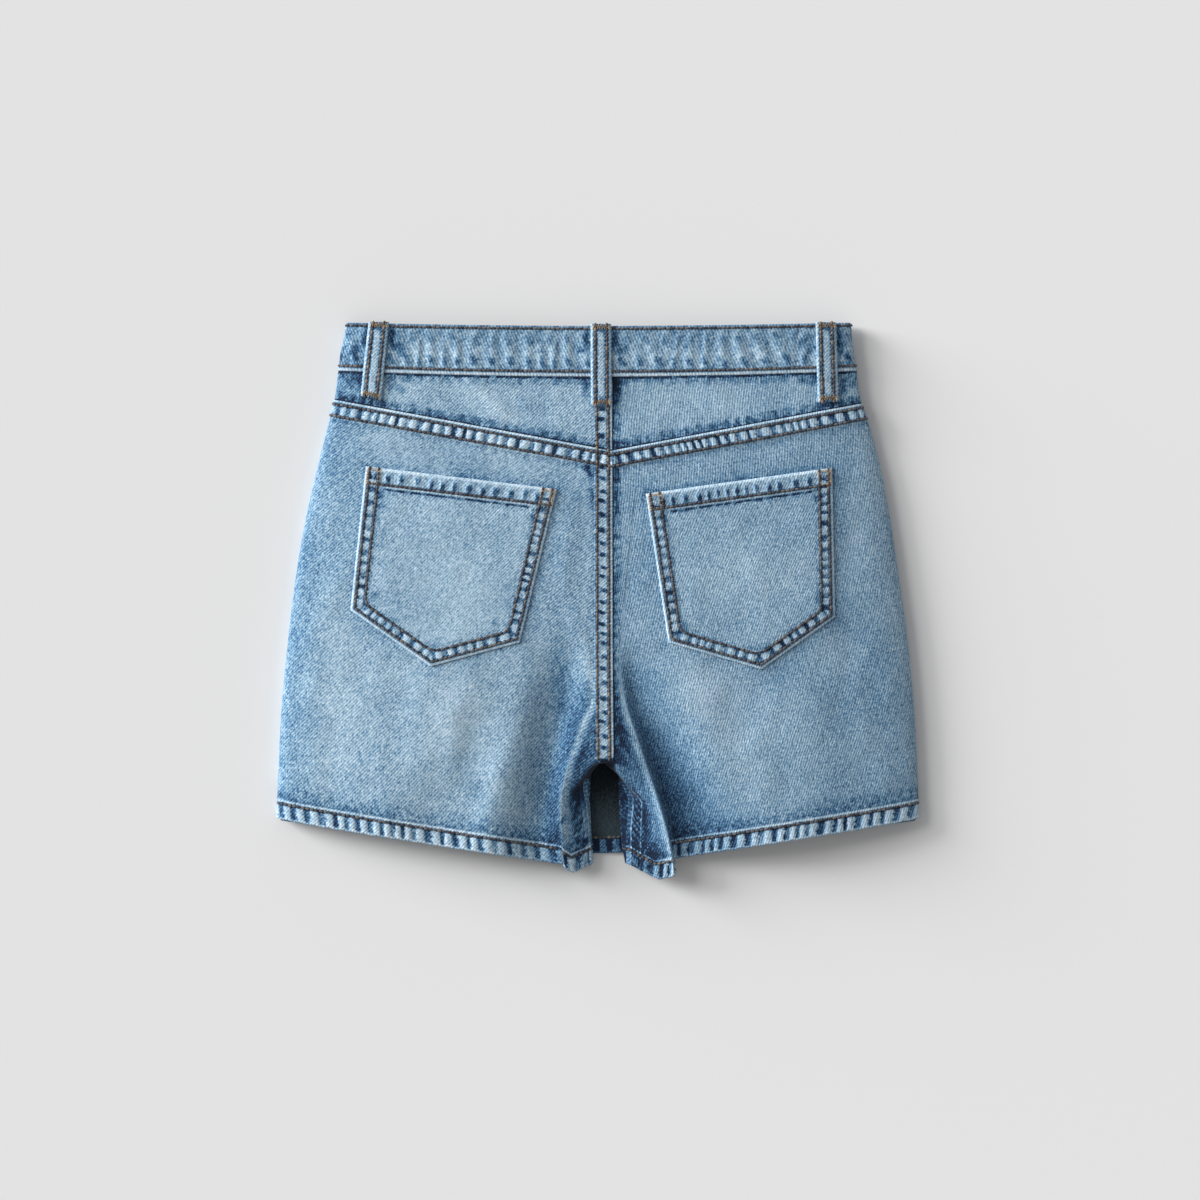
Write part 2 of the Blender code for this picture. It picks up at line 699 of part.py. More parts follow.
def build_skirt_front():
    half = (0.12, 0.28, 0.44, 0.60, 0.75, 0.88, 0.96, 0.973, 0.986, 1.0)
    us = (*(-u for u in reversed(half)), -0.001, *half)
    rows = (
        0.0, 0.05, 0.085, 0.11, 0.135, 0.16, 0.19, 0.28, 0.40, 0.52, 0.70, 0.854, 0.968, 0.972,
        1.0,
    )  # fmt: skip

    def wall(u, along):
        hem = (along > 0.97) & (np.abs(u) < 0.9)
        return mix(WALL, HEM_WALL, 1.0 * hem)

    def mitre(u, along, normals):
        rim = np.abs(u) >= 1
        normals = level(normals, rim, 1, 2)
        normals[rim, 0] = np.sign(u[rim])
        return level(normals, (along <= 0) | (along >= 1), 1)

    cloth("skirt_front", skirt_front, us, rows, DENIM_INSIDE, wall, mitre)


def build_yoke(side):
    seam = (0.90, 0.925, 0.937, 0.943, 1.0) if side == "left" else (0.92, 1.0)
    us = (*ACROSS[:-1], 0.86, *seam)
    shift = SIGN[side] * GAP / 2

    def surface(u, down):
        found = yoke(side, u, down)
        found[u >= 1, 0] += shift
        return found

    def mitre(u, down, normals):
        normals = level(normals, u <= 0, 1, 2)
        normals[u <= 0, 0] = SIGN[side]
        normals = level(normals, u >= 1, 0)
        return level(normals, (down <= 0) | (down >= 1), 1)

    cloth("yoke_" + side, surface, us, (0.0, 0.2, 0.45, 0.72, 1.0), DENIM, None, mitre)


def build_waistband():
    turn = (0.33, 0.67)
    front = (0.0, 0.06, 0.12, 0.2, 0.35, 0.6, 0.85, 1.0)
    back = (
        2.0, 2.004, 2.02, 2.06, 2.13, 2.25, 2.45, 2.7, 2.95, 3.2, 3.45, 3.67, 3.82, 3.91, 3.96,
        3.985, 3.996, 4.0,
    )  # fmt: skip
    us = (
        *front,
        *(1 + t for t in turn),
        *back,
        *(5 - t for t in reversed(turn)),
        *(6 - f for f in reversed(front)),
    )

    def mitre(around, down, normals):
        sides = (around >= 2) & (around <= 2) | (around >= 4) & (around <= 4)
        normals = level(normals, sides, 1, 2)
        normals[sides, 0] = np.where(around[sides] < 3, -1.0, 1.0)
        return level(normals, (down <= 0) | (down >= 1), 1)

    cloth(
        "waistband",
        waistband,
        us,
        (0.0, 0.3, 0.7, 1.0),
        DENIM_SHADE,
        lambda u, v: np.full(len(u), BAND_WALL),
        mitre,
    )


def build_pocket(side):
    middle = 1 - POCKET_POINT_AT
    us = sorted((0.0, 0.12, 0.24, 0.36, middle, 0.6, 0.72, 0.84, 0.93, 1.0))
    rows = (0.0, 0.1, 0.22, 0.34, 0.46, 0.58, 0.7, 0.82, 0.92, 1.0)
    cloth(
        "pocket_" + side,
        lambda u, v: pocket(side, u, v),
        us,
        rows,
        DENIM,
        None,
        lambda u, v, normals: level(normals, normals[:, 2] > -2, 0, 1),
    )


def build_loops():
    rows = (0.0, 0.15, 0.35, 0.55, 0.68, 0.76, 0.88, 1.0)
    us = (0.0, 0.15, 0.5, 0.85, 1.0)

    def straight(u, v, normals):
        return level(normals, normals[:, 2] > -2, 0, 1)

    def thick(u, v):
        return np.full(len(u), LOOP_WALL)

    for row, name in enumerate(BACK_LOOP_NAMES):
        cloth(name, lambda u, v, r=row: back_loop(r, u, v), us, rows, DENIM, thick, straight)
    for side, sign in SIGN.items():
        cloth(
            "loop_front_" + side,
            lambda u, v, s=sign: front_loop(s, u, v),
            us,
            rows,
            DENIM,
            thick,
            straight,
        )


def build_button():
    """The waist button: a low domed head against the waistband's outer end."""
    radius = BUTTON_WIDE / 2
    profile = (
        (0.0, LIFT - GAP),
        (radius - 1.2, LIFT - GAP),
        (radius, LIFT - GAP - 0.5),
        (radius, 0.8),
        (radius - 1.4, 0.0),
        (0.0, 0.0),
    )
    mesh = bpy.data.meshes.new("button")
    edges = [(i, i + 1) for i in range(len(profile) - 1)]
    mesh.from_pydata([(r * MM, 0.0, z * MM) for r, z in profile], edges, [])
    material = bpy.data.materials.new("button")
    material.use_nodes = True
    shader = material.node_tree.nodes["Principled BSDF"]
    shader.inputs["Base Color"].default_value = (*BRASS, 1.0)
    shader.inputs["Roughness"].default_value = 0.4
    shader.inputs["Metallic"].default_value = 1.0
    mesh.materials.append(material)
    button = bpy.data.objects.new("button", mesh)
    garment.objects.link(button)
    low, top = front_waist(0.0)
    button.location = (0.0, (low + top) / 2 * MM, 0.0)
    turned = button.modifiers.new("Turn", "SCREW")
    turned.axis = "Z"
    turned.steps = 24
    turned.render_steps = 24
    turned.use_merge_vertices = True
    turned.merge_threshold = 1e-5
    turned.use_smooth_shade = True


for old in list(bpy.data.objects):
    bpy.data.objects.remove(old)
garment = bpy.data.collections.new("denim_skort")
bpy.context.scene.collection.children.link(garment)

for half in SIGN:
    build_back(half)
    build_yoke(half)
    build_pocket(half)
    build_shorts_front(half)
build_skirt_front()
build_waistband()
build_loops()
build_button()
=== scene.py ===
"""Denim skort laid flat on its front, back up: five-pocket style back with two short legs, and a
skirt panel across the whole front, whose inside shows between the legs.

The frame: +X to the right of the laid garment, +Y towards the waist, +Z up. Sizes and tables are
in millimetres, and meshes in metres. Left and right are as seen from above.
"""

import bmesh
import bpy
import numpy as np
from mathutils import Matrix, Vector
from mathutils.bvhtree import BVHTree


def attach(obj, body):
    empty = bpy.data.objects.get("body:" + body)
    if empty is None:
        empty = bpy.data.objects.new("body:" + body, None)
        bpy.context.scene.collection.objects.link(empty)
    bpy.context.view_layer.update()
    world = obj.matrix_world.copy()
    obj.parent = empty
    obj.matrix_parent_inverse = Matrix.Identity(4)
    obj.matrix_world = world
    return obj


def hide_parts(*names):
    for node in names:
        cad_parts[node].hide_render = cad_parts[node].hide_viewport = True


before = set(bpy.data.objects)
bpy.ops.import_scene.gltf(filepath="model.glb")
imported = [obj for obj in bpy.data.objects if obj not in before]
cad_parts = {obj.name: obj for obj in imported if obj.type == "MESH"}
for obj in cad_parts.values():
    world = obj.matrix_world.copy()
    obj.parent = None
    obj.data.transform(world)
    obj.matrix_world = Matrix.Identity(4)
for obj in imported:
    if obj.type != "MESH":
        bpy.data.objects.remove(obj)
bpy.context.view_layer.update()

MM = 0.001

# Cloth
WALL = 1.2  # one layer of denim
HEM_WALL = 2.0  # a turned hem
BAND_WALL = 2.6  # the waistband: outer layer, facing and turnings
LOOP_WALL = 2.1  # a belt loop: a strip folded in three
GAP = 0.3  # between pieces at a seam
FELL = 0.7  # how far a felled seam, or the waistband's edge, stands above the panel
FELL_WIDE = 12.2  # a felled seam's width
HEM_DEEP = 10.5  # a hem's depth, and its stitch line's place
FELL_LINES = (2.5, 10.9)  # a felled seam's two stitch lines, from its edge
EDGE_LINE = 2.9  # the stitch line along a loop's sides and the waistband's lower edge
POCKET_TOP_LINE = 11.6  # the one below a pocket's top edge

# Thread
STITCH_LONG = 3.4
STITCH_THICK = 2.0
PITCH = 3.3  # from one stitch to the next
TACK_RADIUS = 0.42  # of a bar tack's thread
TACK_BOX = (8.6, 10.2)  # the box of tacks at a pocket's corner, wide and high

# Heights above the surface that the garment lies on
SEAM_UP = 4.5  # a side seam above the skirt panel's underside
LIFT = LOOP_WALL + GAP  # the front waist lies on its loops and button
LIFT_FROM = 108.0  # y where the skirt panel starts to rise to them
LIFT_TO = 132.0
LIFT_EARLY = 8.0  # the shorts' fronts rise this much lower down
HOLLOW_UP = 9.0  # about the middle of the hollow between back and front
UNDER = WALL + GAP  # the shorts' fronts lie on the skirt panel
UNDER_HEM = HEM_WALL + GAP  # and near the bottom on its hem
ROUND = 2.5  # how boxy the laid garment's cross-section is

# Waist
FRONT_DIP = 5.0  # the front waist is cut lower than the back
LAP = 15.0  # each waistband end passes the centre front by this much
LOOP_LONG = 57.5
LOOP_WIDE = 14.0
FRONT_LOOP_X = 88.0
BUTTON_WIDE = 17.0
BAND_SIDE_Y = (199.2, 166.4)  # y of the waistband's top and lower edge at the side seams

# Seams
CENTRE_X = 9.9  # the centre back seam at the yoke
YOKE_POINT = 107.4  # y of the yoke's point there
YOKE_SIDE_X = {"left": -189.6, "right": 189.2}
CROTCH = 0.765  # how far down a panel the crotch is, from 0 at its top to 1 at its hem
AT_FOOT = 0.97  # where across a back panel the rows reach the foot of the fold's ridge
SKIRT_FLAT = 0.96  # the share of the skirt panel's half width that lies flat
SHORTS_SIDE_Y = (166.0, -154.0)  # y of a shorts front's top and hem at the side seam
SKIRT_SIDE_Y = (166.0, -152.5)  # and of the skirt panel's

SIGN = {"left": -1.0, "right": 1.0}


def table(columns, *rows):
    """A short table, as one array for each named column. Its first column goes up or down."""
    numbers = np.array(rows, float)
    if numbers[0, 0] > numbers[-1, 0]:
        numbers = numbers[::-1]
    return dict(zip(columns.split(), numbers.T))


# The side seams, from the waistband's top edge to the hem
SIDES = table(
    "y left right",
    (199.2, -181, 182), (174, -185.6, 185), (144, -189.6, 189), (122, -195.3, 196.4),
    (88, -203.8, 205), (53, -211.5, 211.2), (19, -217.2, 216.2), (-24, -222.6, 222.2),
    (-85, -228.2, 228), (-156, -231.4, 231.2),
)

# How high the back lies along its middle
HEIGHT = table(
    "y top",
    (199, 16.1), (163, 16.7), (108, 19.8), (40, 22.6), (-40, 24.6), (-115, 25), (-160, 24),
    (-200, 23),
)

# The fold beside each inner thigh: the ridge that the tented crotch ends in, and the valley
# outside it. A drop is measured down from the smooth back.
FOLD = {
    "left": table(
        "y ridge ridge_drop valley valley_drop spread",
        (118, -16, 0, -30, 0, 22), (-14, -9, 0, -20, 0, 22), (-42, -5.5, 0.2, -23, 2.6, 20),
        (-71, -4.2, 0.5, -27.4, 6.5, 19), (-89, -11.5, 1, -30.2, 9, 19),
        (-105, -16.6, 1.8, -32.4, 10, 19.5), (-126, -22.8, 3, -36, 11, 20),
        (-147, -26.4, 5, -39.6, 11.5, 21), (-172, -25.2, 7, -41.8, 11.5, 22),
        (-197, -22.3, 8.5, -41, 11, 23),
    ),
    "right": table(
        "y ridge ridge_drop valley valley_drop spread",
        (118, 31, 0, 46, 0, 20), (-28, 16, 0, 27, 0, 20), (-42, 14.8, 0.2, 24, 1.4, 18),
        (-71, 18.7, 0.6, 28, 5, 21), (-101, 28.4, 1.2, 37.5, 9, 25),
        (-140, 41.8, 3, 49, 11.5, 32), (-173, 51.1, 5, 58.3, 12, 40), (-197, 55, 7, 63.4, 12, 43),
    ),
}

# Soft folds across the back: a line, its height (less than 0 for a trough) and its half width
WAVES = table(
    "x0 y0 x1 y1 up wide",
    (-84, -96, -114, -172, -1.7, 20), (-66, -128, -70, -172, 1.3, 15),
    (-112, -66, -150, -150, 1, 22), (64, -52, 92, -110, 1.2, 20), (182, -40, 204, -140, -1, 20),
    (150, -90, 142, -160, 1, 22),
)

# A back panel's inner part. Its seam is the centre back down to the crotch, and the inseam below;
# the shoulder is where the cloth turns down between them. "along" is 0 at the yoke and 1 at the
# hem, and a drop is measured down from the smooth back.
CENTRE_BACK = (
    (0, 9.9, 107.4, 0), (0.51, 10.2, -42, 0), (0.664, 10.6, -90.5, 0), (0.716, 10.8, -108.4, 0.3),
    (0.74, 10.4, -114.8, 2), (0.752, 8, -116.2, 8), (0.765, 3.6, -116, 15),
)
SEAM = {
    "left": table(
        "along x y drop", *CENTRE_BACK,
        (0.785, -4, -122.6, 15.5), (0.82, -10.8, -133.2, 15.6), (0.854, -8.2, -146.9, 15.6),
        (0.937, -5.6, -170.6, 15.8), (1, -4.8, -188.6, 15.8),
    ),
    "right": table(
        "along x y drop", *CENTRE_BACK,
        (0.785, 14.6, -125.3, 15.2), (0.82, 21.6, -134.6, 15), (0.854, 25.2, -143, 14.6),
        (0.937, 23.4, -168, 14), (1, 23.6, -189.4, 14.2),
    ),
}
SHOULDER = {
    "left": table(
        "along x y drop",
        (0, -2.3, 110.4, 0), (0.664, -1.6, -90.5, 0), (0.716, -1.8, -109, 0.4),
        (0.74, -2.2, -114, 1.2), (0.765, -7.9, -120.2, 3), (0.785, -12.6, -128.2, 4.5),
        (0.82, -18.6, -136.4, 6.4), (0.854, -21, -146.9, 7.6), (0.937, -20.6, -170.6, 9.4),
        (1, -18.2, -194.8, 10.8),
    ),
    "right": table(
        "along x y drop",
        (0, 19, 108.8, 0), (0.51, 12.2, -42, 0), (0.664, 16.2, -90.5, 0.2),
        (0.716, 13.4, -109.6, 0.4), (0.74, 13.7, -116, 1.6), (0.765, 15.6, -122.6, 4.6),
        (0.785, 18.6, -129, 7), (0.82, 25, -137, 9.4), (0.854, 30.4, -143.6, 10.6),
        (0.937, 37.4, -168.4, 10.8), (1, 43.6, -199.4, 10.6),
    ),
}

# A shorts front on the hidden side: its centre front down to the crotch, and the fold that its
# inner leg makes beside the gap between the legs. "up" is above the layer below it.
CENTRE_FRONT = table(
    "along x y up",
    (0, 5, 156.7, 0), (0.62, 5, -71, 0), (0.68, 5, -91, 0.4), (0.716, 4.6, -103, 1.8),
    (0.74, 4.2, -110.4, 4.2), (0.752, 3.9, -113.6, 6.2), (0.765, 3.6, -116, 8.4),
)
INNER_FOLD = {
    "left": table(
        "along x y up",
        (0, -1, 156.8, 0), (0.62, -1, -71, 0), (0.716, 0.2, -104.6, 0.8), (0.74, 0.2, -113, 1.8),
        (0.765, -2.6, -118, 2.6), (0.785, -4.6, -123.4, 2.9), (0.82, -5.6, -133.9, 3),
        (0.854, -5.5, -146.9, 3), (0.937, -4.4, -170.6, 3), (1, -3.2, -187.6, 3),
    ),
    "right": table(
        "along x y up",
        (0, 11, 156.8, 0), (0.62, 11, -71, 0), (0.716, 10, -104, 0.8), (0.74, 10.2, -112, 1.8),
        (0.765, 12, -117.4, 2.6), (0.785, 14.6, -123.8, 2.9), (0.82, 15, -134.6, 3),
        (0.854, 15.2, -146.9, 3), (0.937, 16.6, -170.6, 3), (1, 19.4, -188.2, 3),
    ),
}

# Where the rows of a back panel start and end: at the side seam, at the foot of the fold and at
# its ridge
ENDS = {
    "left": table("row side foot ridge", (0, 144.2, 112.5, 112.2), (1, -155.4, -188.6, -191.4)),
    "right": table("row side foot ridge", (0, 141.4, 111.7, 111.4), (1, -155.4, -184.4, -197.0)),
}

# The corners of the back pockets, the edges between them, and the corners of the loops' ends
POCKET_CORNERS = ("outer_top", "outer_low", "point", "inner_low", "inner_top")
POCKET_SPOTS = {
    "left": ((-166.5, 96.6), (-177.5, -6.4), (-120.2, -46.7), (-56.2, -29.5), (-29.8, 80.1)),
    "right": ((168, 95.5), (170.1, -11.4), (117.3, -48.8), (50.6, -29.5), (34.6, 76.8)),
}
POCKET = {side: dict(zip(POCKET_CORNERS, np.array(spots))) for side, spots in POCKET_SPOTS.items()}
POCKET_EDGES = {
    "top": ("inner_top", "outer_top"),
    "outer": ("outer_top", "outer_low"),
    "low_outer": ("outer_low", "point"),
    "low_inner": ("point", "inner_low"),
    "inner": ("inner_low", "inner_top"),
}
POCKET_POINT_AT = 0.53  # how far along the bottom the pocket's point is, from its outer corner
BACK_LOOPS = table(
    "x_top x_low y_top y_low",
    (-157.5, -163.2, 199.7, 146.4), (2.2, 2.4, 198.2, 140.6), (163.9, 165.4, 199.5, 143.6),
)
BACK_LOOP_NAMES = ("loop_back_left", "loop_back_center", "loop_back_right")


def read(rows, column, at):
    """A table's column between its rows, on a smooth curve that never passes a row's value."""
    knots = next(iter(rows.values()))
    values = rows[column]
    step = np.diff(knots)
    slope = np.diff(values) / step
    product = slope[:-1] * slope[1:]
    total = np.where(product > 0, slope[:-1] + slope[1:], 1.0)
    bends = np.where(product > 0, 2 * product / total, 0.0)
    tangent = np.concatenate([slope[:1], bends, slope[-1:]])
    at = np.clip(at, knots[0], knots[-1])
    i = np.clip(np.searchsorted(knots, at) - 1, 0, len(step) - 1)
    s = (at - knots[i]) / step[i]
    start = values[i] * (1 + 2 * s) + tangent[i] * step[i] * s
    end = values[i + 1] * (3 - 2 * s) + tangent[i + 1] * step[i] * (s - 1)
    return start * (1 - s) ** 2 + end * s**2


def read_all(rows, at):
    """Every column but the first."""
    return [read(rows, column, at) for column in list(rows)[1:]]


def ease(s):
    """0 to 1 with no corner, for s from 0 to 1."""
    s = np.clip(s, 0.0, 1.0)
    return s * s * (3 - 2 * s)


def mix(a, b, s):
    return a + (b - a) * s


def points(x, y, z):
    return np.stack(np.broadcast_arrays(x, y, z), axis=-1).astype(float)


def strokes(rows, x, y, bowed=0.08):
    """A table of soft lines' total height at a place. Each bends by bowed for its length."""
    total = np.zeros(np.broadcast(x, y).shape)
    for x0, y0, x1, y1, up, wide in zip(*rows.values()):
        long = np.hypot(x1 - x0, y1 - y0)
        along = ((x - x0) * (x1 - x0) + (y - y0) * (y1 - y0)) / long
        across = ((x - x0) * (y1 - y0) - (y - y0) * (x1 - x0)) / long
        bow = bowed * long * np.sin(np.pi * np.clip(along / long, 0, 1))
        past = np.maximum(np.abs(along - long / 2) - long / 2, 0)
        total += up * np.exp(-(((across - bow) / wide) ** 2) - (past / (1.5 * wide)) ** 2)
    return total


# ---------------- the form of the laid garment


def lift(y):
    """How far the skirt panel lies above the surface, near the waist."""
    return LIFT * ease((y - LIFT_FROM) / (LIFT_TO - LIFT_FROM))


def dip(side, x, y):
    """How far a side's fold drops the back at a place."""
    ridge, ridge_drop, valley, valley_drop, wide = read_all(FOLD[side], y)
    outward = SIGN[side] * (x - valley)
    outside = valley_drop * np.exp(-((outward / wide) ** 2))
    s = -outward / (SIGN[side] * (valley - ridge))
    inside = mix(valley_drop, ridge_drop * np.clip(2 - s, 0, 1), ease(s))
    return np.where(outward > 0, outside, inside)


def smooth_back(x, y):
    """The outer face of the back, without its folds."""
    left, right = read_all(SIDES, y)
    s = np.clip(np.abs(2 * x - left - right) / (right - left), 0, 1)
    return mix(lift(y) + SEAM_UP, read(HEIGHT, "top", y), (1 - s**ROUND) ** (1 / ROUND))


def from_sides(x, y):
    """How far a place is from the nearer side seam."""
    left, right = read_all(SIDES, y)
    return np.minimum(x - left, right - x)


def back_height(x, y):
    """The outer face of the back, as high above the surface as it lies."""
    folds = strokes(WAVES, x, y, 0.0) * ease(from_sides(x, y) / 12)
    return smooth_back(x, y) + (folds - dip("left", x, y) - dip("right", x, y))


def back_waist(x):
    """The y of the waistband's lower edge on the back, and of its top edge."""
    return 162.0 + 4.4 * (x / 187) ** 2, 196.6 + 2.6 * (x / 181) ** 2


def front_waist(x):
    """The same on the front, which is cut lower."""
    dropped = FRONT_DIP * (1 - np.clip(np.abs(x) / 184, 0, 1) ** 2)
    return tuple(y - dropped for y in back_waist(x))


def yoke_seam(side, x):
    """The y of the seam below the yoke, which falls to a point at the centre back."""
    s = np.clip((x - CENTRE_X) / (YOKE_SIDE_X[side] - CENTRE_X), 0, 1)
    return mix(YOKE_POINT, ENDS[side]["side"][0], s)


def inner_point(rows, along):
    """A point of a back panel's seam or shoulder line."""
    x, y, drop = read_all(rows, along)
    base = np.where(along < 0.6, smooth_back(x, y), read(HEIGHT, "top", y))
    return points(x, y, base - drop)


def back_panel(side, u, along):
    """A back panel: u is 0 at the side seam, 1 at the fold's ridge, 1.5 at the shoulder and 2 at
    the centre back or inseam."""
    y_side, y_foot, y_ridge = (mix(*ENDS[side][row], along) for row in ("side", "foot", "ridge"))
    foot_x = read(FOLD[side], "ridge", y_foot) + SIGN[side] * 1.6
    across = np.clip(u / AT_FOOT, 0, 1)
    over = np.clip((u - AT_FOOT) / 0.03, 0, 1)
    x = mix(read(SIDES, side, y_side), foot_x, across)
    x = mix(x, read(FOLD[side], "ridge", y_ridge), over)
    y = mix(mix(y_side, y_foot, across**0.92), y_ridge, over)
    y = np.where(along <= 0, yoke_seam(side, x), y)
    main = points(x, y, back_height(x, y))
    edge = u <= 0
    main[edge, 0] = read(SIDES, side, y[edge])
    main[edge, 2] = lift(y[edge]) + SEAM_UP
    first, second = (np.clip((u - start) * 2, 0, 1)[:, None] for start in (1, 1.5))
    result = mix(main, inner_point(SHOULDER[side], along), first)
    result = mix(result, inner_point(SEAM[side], along), second)
    result[:, 1] = np.where(along <= 0, yoke_seam(side, result[:, 0]), result[:, 1])
    return result


def shorts_front(side, u, along):
    """A shorts front, outer face down: u is 0 at the centre front or inseam, 0.5 at the inner
    fold, 1 where it lies flat, and 2 at the side seam."""
    sign = SIGN[side]
    bed = mix(UNDER, UNDER_HEM, ease((along - 0.83) / 0.06))

    def laid(rows):
        x, y, up = read_all(rows, along)
        return points(x, y, bed + lift(y + LIFT_EARLY) + up)

    above_crotch = (along < CROTCH)[:, None]
    seam = np.where(above_crotch, laid(CENTRE_FRONT), inner_point(SEAM[side], along))
    fold = laid(INNER_FOLD[side])
    flat_y = np.where(along < 0.7, fold[:, 1], fold[:, 1] + 1.0)
    flat = points(fold[:, 0] + sign * 3.6, flat_y, bed + lift(flat_y + LIFT_EARLY))
    y_side = mix(*SHORTS_SIDE_Y, along)
    side_x = read(SIDES, side, y_side) - sign * (WALL + 1.5 * GAP)
    over = np.clip(u - 1, 0, 1)
    y = mix(flat_y, y_side, over)
    low = bed + lift(y + LIFT_EARLY * (1 - over**2))
    roll = SEAM_UP - GAP - bed
    turn = np.clip((u - 1.9) / 0.1, 0, 1) * np.pi / 2
    reach = mix(flat[:, 0], side_x - sign * roll, np.clip(over / 0.9, 0, 1))
    under = points(reach + sign * roll * np.sin(turn), y, low + roll * (1 - np.cos(turn)))
    first, second = (np.clip(u * 2 - start, 0, 1)[:, None] for start in (0, 1))
    inner = mix(mix(seam, fold, first), flat, second)
    result = np.where((u > 1)[:, None], under, inner)
    result[:, 1] = np.where(along <= 0, front_waist(result[:, 0])[0] - GAP, result[:, 1])
    return result


def skirt_hem(x):
    """The y of the skirt panel's bottom edge, which stays just inside the legs' hems."""
    return -180.7 + 29.5 * np.clip(np.abs(x) / 231, 0, 1) ** 1.6


def skirt_front(u, along):
    """The skirt panel, outer face down: u is -1 and 1 at the side seams."""
    left, right = read_all(SIDES, mix(*SKIRT_SIDE_Y, along))
    roll = SEAM_UP - GAP
    flat_x = np.where(u < 0, left, right) - np.sign(u) * roll
    x = flat_x * np.clip(np.abs(u) / SKIRT_FLAT, 0, 1)
    y = mix(front_waist(x)[0] - GAP, skirt_hem(x), along)
    turn = np.clip((np.abs(u) - SKIRT_FLAT) / 0.04, 0, 1) * np.pi / 2
    return points(x + np.sign(u) * roll * np.sin(turn), y, lift(y) + roll * (1 - np.cos(turn)))


def yoke(side, u, down):
    """A yoke half: u is 0 at the side seam and 1 at the centre back."""
    y_side = mix(BAND_SIDE_Y[1] - GAP, ENDS[side]["side"][0] + GAP, down)
    x = mix(read(SIDES, side, y_side), CENTRE_X, u)
    y = mix(back_waist(x)[0] - GAP, yoke_seam(side, x) + GAP, down)
    x = np.where(u <= 0, read(SIDES, side, y), x)
    return points(x, y, np.where(u <= 0, lift(y) + SEAM_UP, back_height(x, y)))


def waistband(around, down):
    """The waistband: around is 0 at its left end, 1 and 2 at the left turn, 4 and 5 at the right
    turn, and 6 at its right end, which lies inside the left one."""
    left = around < 3
    sign = np.where(left, -1.0, 1.0)
    left_x, right_x = read_all(SIDES, mix(*BAND_SIDE_Y, down))
    edge = np.where(left, left_x, right_x)
    on_back = (around >= 2) & (around <= 4)
    back_x = mix(left_x, right_x, np.clip((around - 2) / 2, 0, 1))
    from_end = np.where(left, around, 6 - around)
    flat_x = mix(-sign * LAP, edge - sign * SEAM_UP, np.clip(from_end, 0, 1))
    turn = np.clip(from_end - 1, 0, 1) * np.pi / 2
    front_x = flat_x + sign * SEAM_UP * np.sin(turn)
    front_z = LIFT + SEAM_UP * (1 - np.cos(turn))
    tucked = ease((36.0 - front_x) / 18.0) * ~left * (BAND_WALL + GAP)
    front_z = front_z + np.where(from_end < 1, tucked, 0.0)
    x = np.where(on_back, back_x, front_x)
    back_y, front_y = (mix(top, low, down) for low, top in (back_waist(x), front_waist(x)))
    y = np.where(on_back, back_y, front_y)
    rolled = np.abs(np.abs(x) - np.abs(edge)) < 0.01
    back_z = np.where(rolled, LIFT + SEAM_UP, back_height(x, y) + FELL)
    return points(x, y, np.where(on_back, back_z, front_z))


def pocket(side, u, down):
    """A back pocket on its panel: u is 0 at its outer edge, and its bottom comes to a point."""
    corner = POCKET[side]
    u, down = u[:, None], down[:, None]
    top = mix(corner["outer_top"], corner["inner_top"], u)
    to_point = mix(corner["outer_low"], corner["point"], np.clip(u / (1 - POCKET_POINT_AT), 0, 1))
    past = np.clip((u - 1 + POCKET_POINT_AT) / POCKET_POINT_AT, 0, 1)
    x, y = mix(top, mix(to_point, corner["inner_low"], past), down).T
    return points(x, y, back_height(x, y) + GAP + WALL)


def back_loop(row, u, down):
    """A belt loop on the back, from the waistband's top edge down onto the yoke."""
    x_top, x_low, y_top, y_low = (column[row] for column in BACK_LOOPS.values())
    aside = LOOP_WIDE * (u - 0.5)
    y = mix(y_top, y_low, down) + 2 * (x_low - x_top) / (y_top - y_low) * down * aside
    x = mix(x_top, x_low, down) + aside
    over_seam = BACK_LOOP_NAMES[row] == "loop_back_center"
    z = back_height(x, y) + FELL * np.where(over_seam, 1.0, ease((y - 156.5) / 4.0))
    return points(x, y, z + GAP + LOOP_WALL)


def front_loop(sign, u, down):
    """A belt loop on the front, which the garment lies on."""
    x = sign * FRONT_LOOP_X + LOOP_WIDE * (u - 0.5)
    top = front_waist(sign * FRONT_LOOP_X)[1] + 0.4
    return points(x, mix(top, top - LOOP_LONG, down), 0.0 * x)


# ---------------- folds, creases, wear and painted shade

# Creases: a line, its height (less than 0 for a groove) and its half width
CREASES = table(
    "x0 y0 x1 y1 up wide",
    (-88, 156, -46, 122, 0.55, 5), (-108, 150, -66, 120, -0.45, 6), (-60, 150, -30, 128, 0.4, 4),
    (60, 150, 96, 126, -0.4, 6), (78, 156, 118, 132, 0.45, 5), (-182, 20, -206, -60, 0.7, 10),
    (-176, -60, -188, -140, -0.6, 11), (-92, -60, -104, -120, 0.8, 9),
    (-62, -100, -78, -160, 0.7, 8), (-140, -80, -132, -150, -0.5, 12),
    (96, -70, 110, -150, -0.6, 12), (176, 40, 196, -60, -0.6, 10), (190, -40, 206, -130, 0.6, 9),
    (128, -70, 120, -140, 0.6, 10), (-20, 60, -16, -20, 0.5, 7), (22, 60, 24, 0, -0.4, 7),
    (11.2, -85.3, 27.7, -100.8, -0.5, 1.8), (13, -93.6, 24.5, -113, -0.5, 1.8),
)
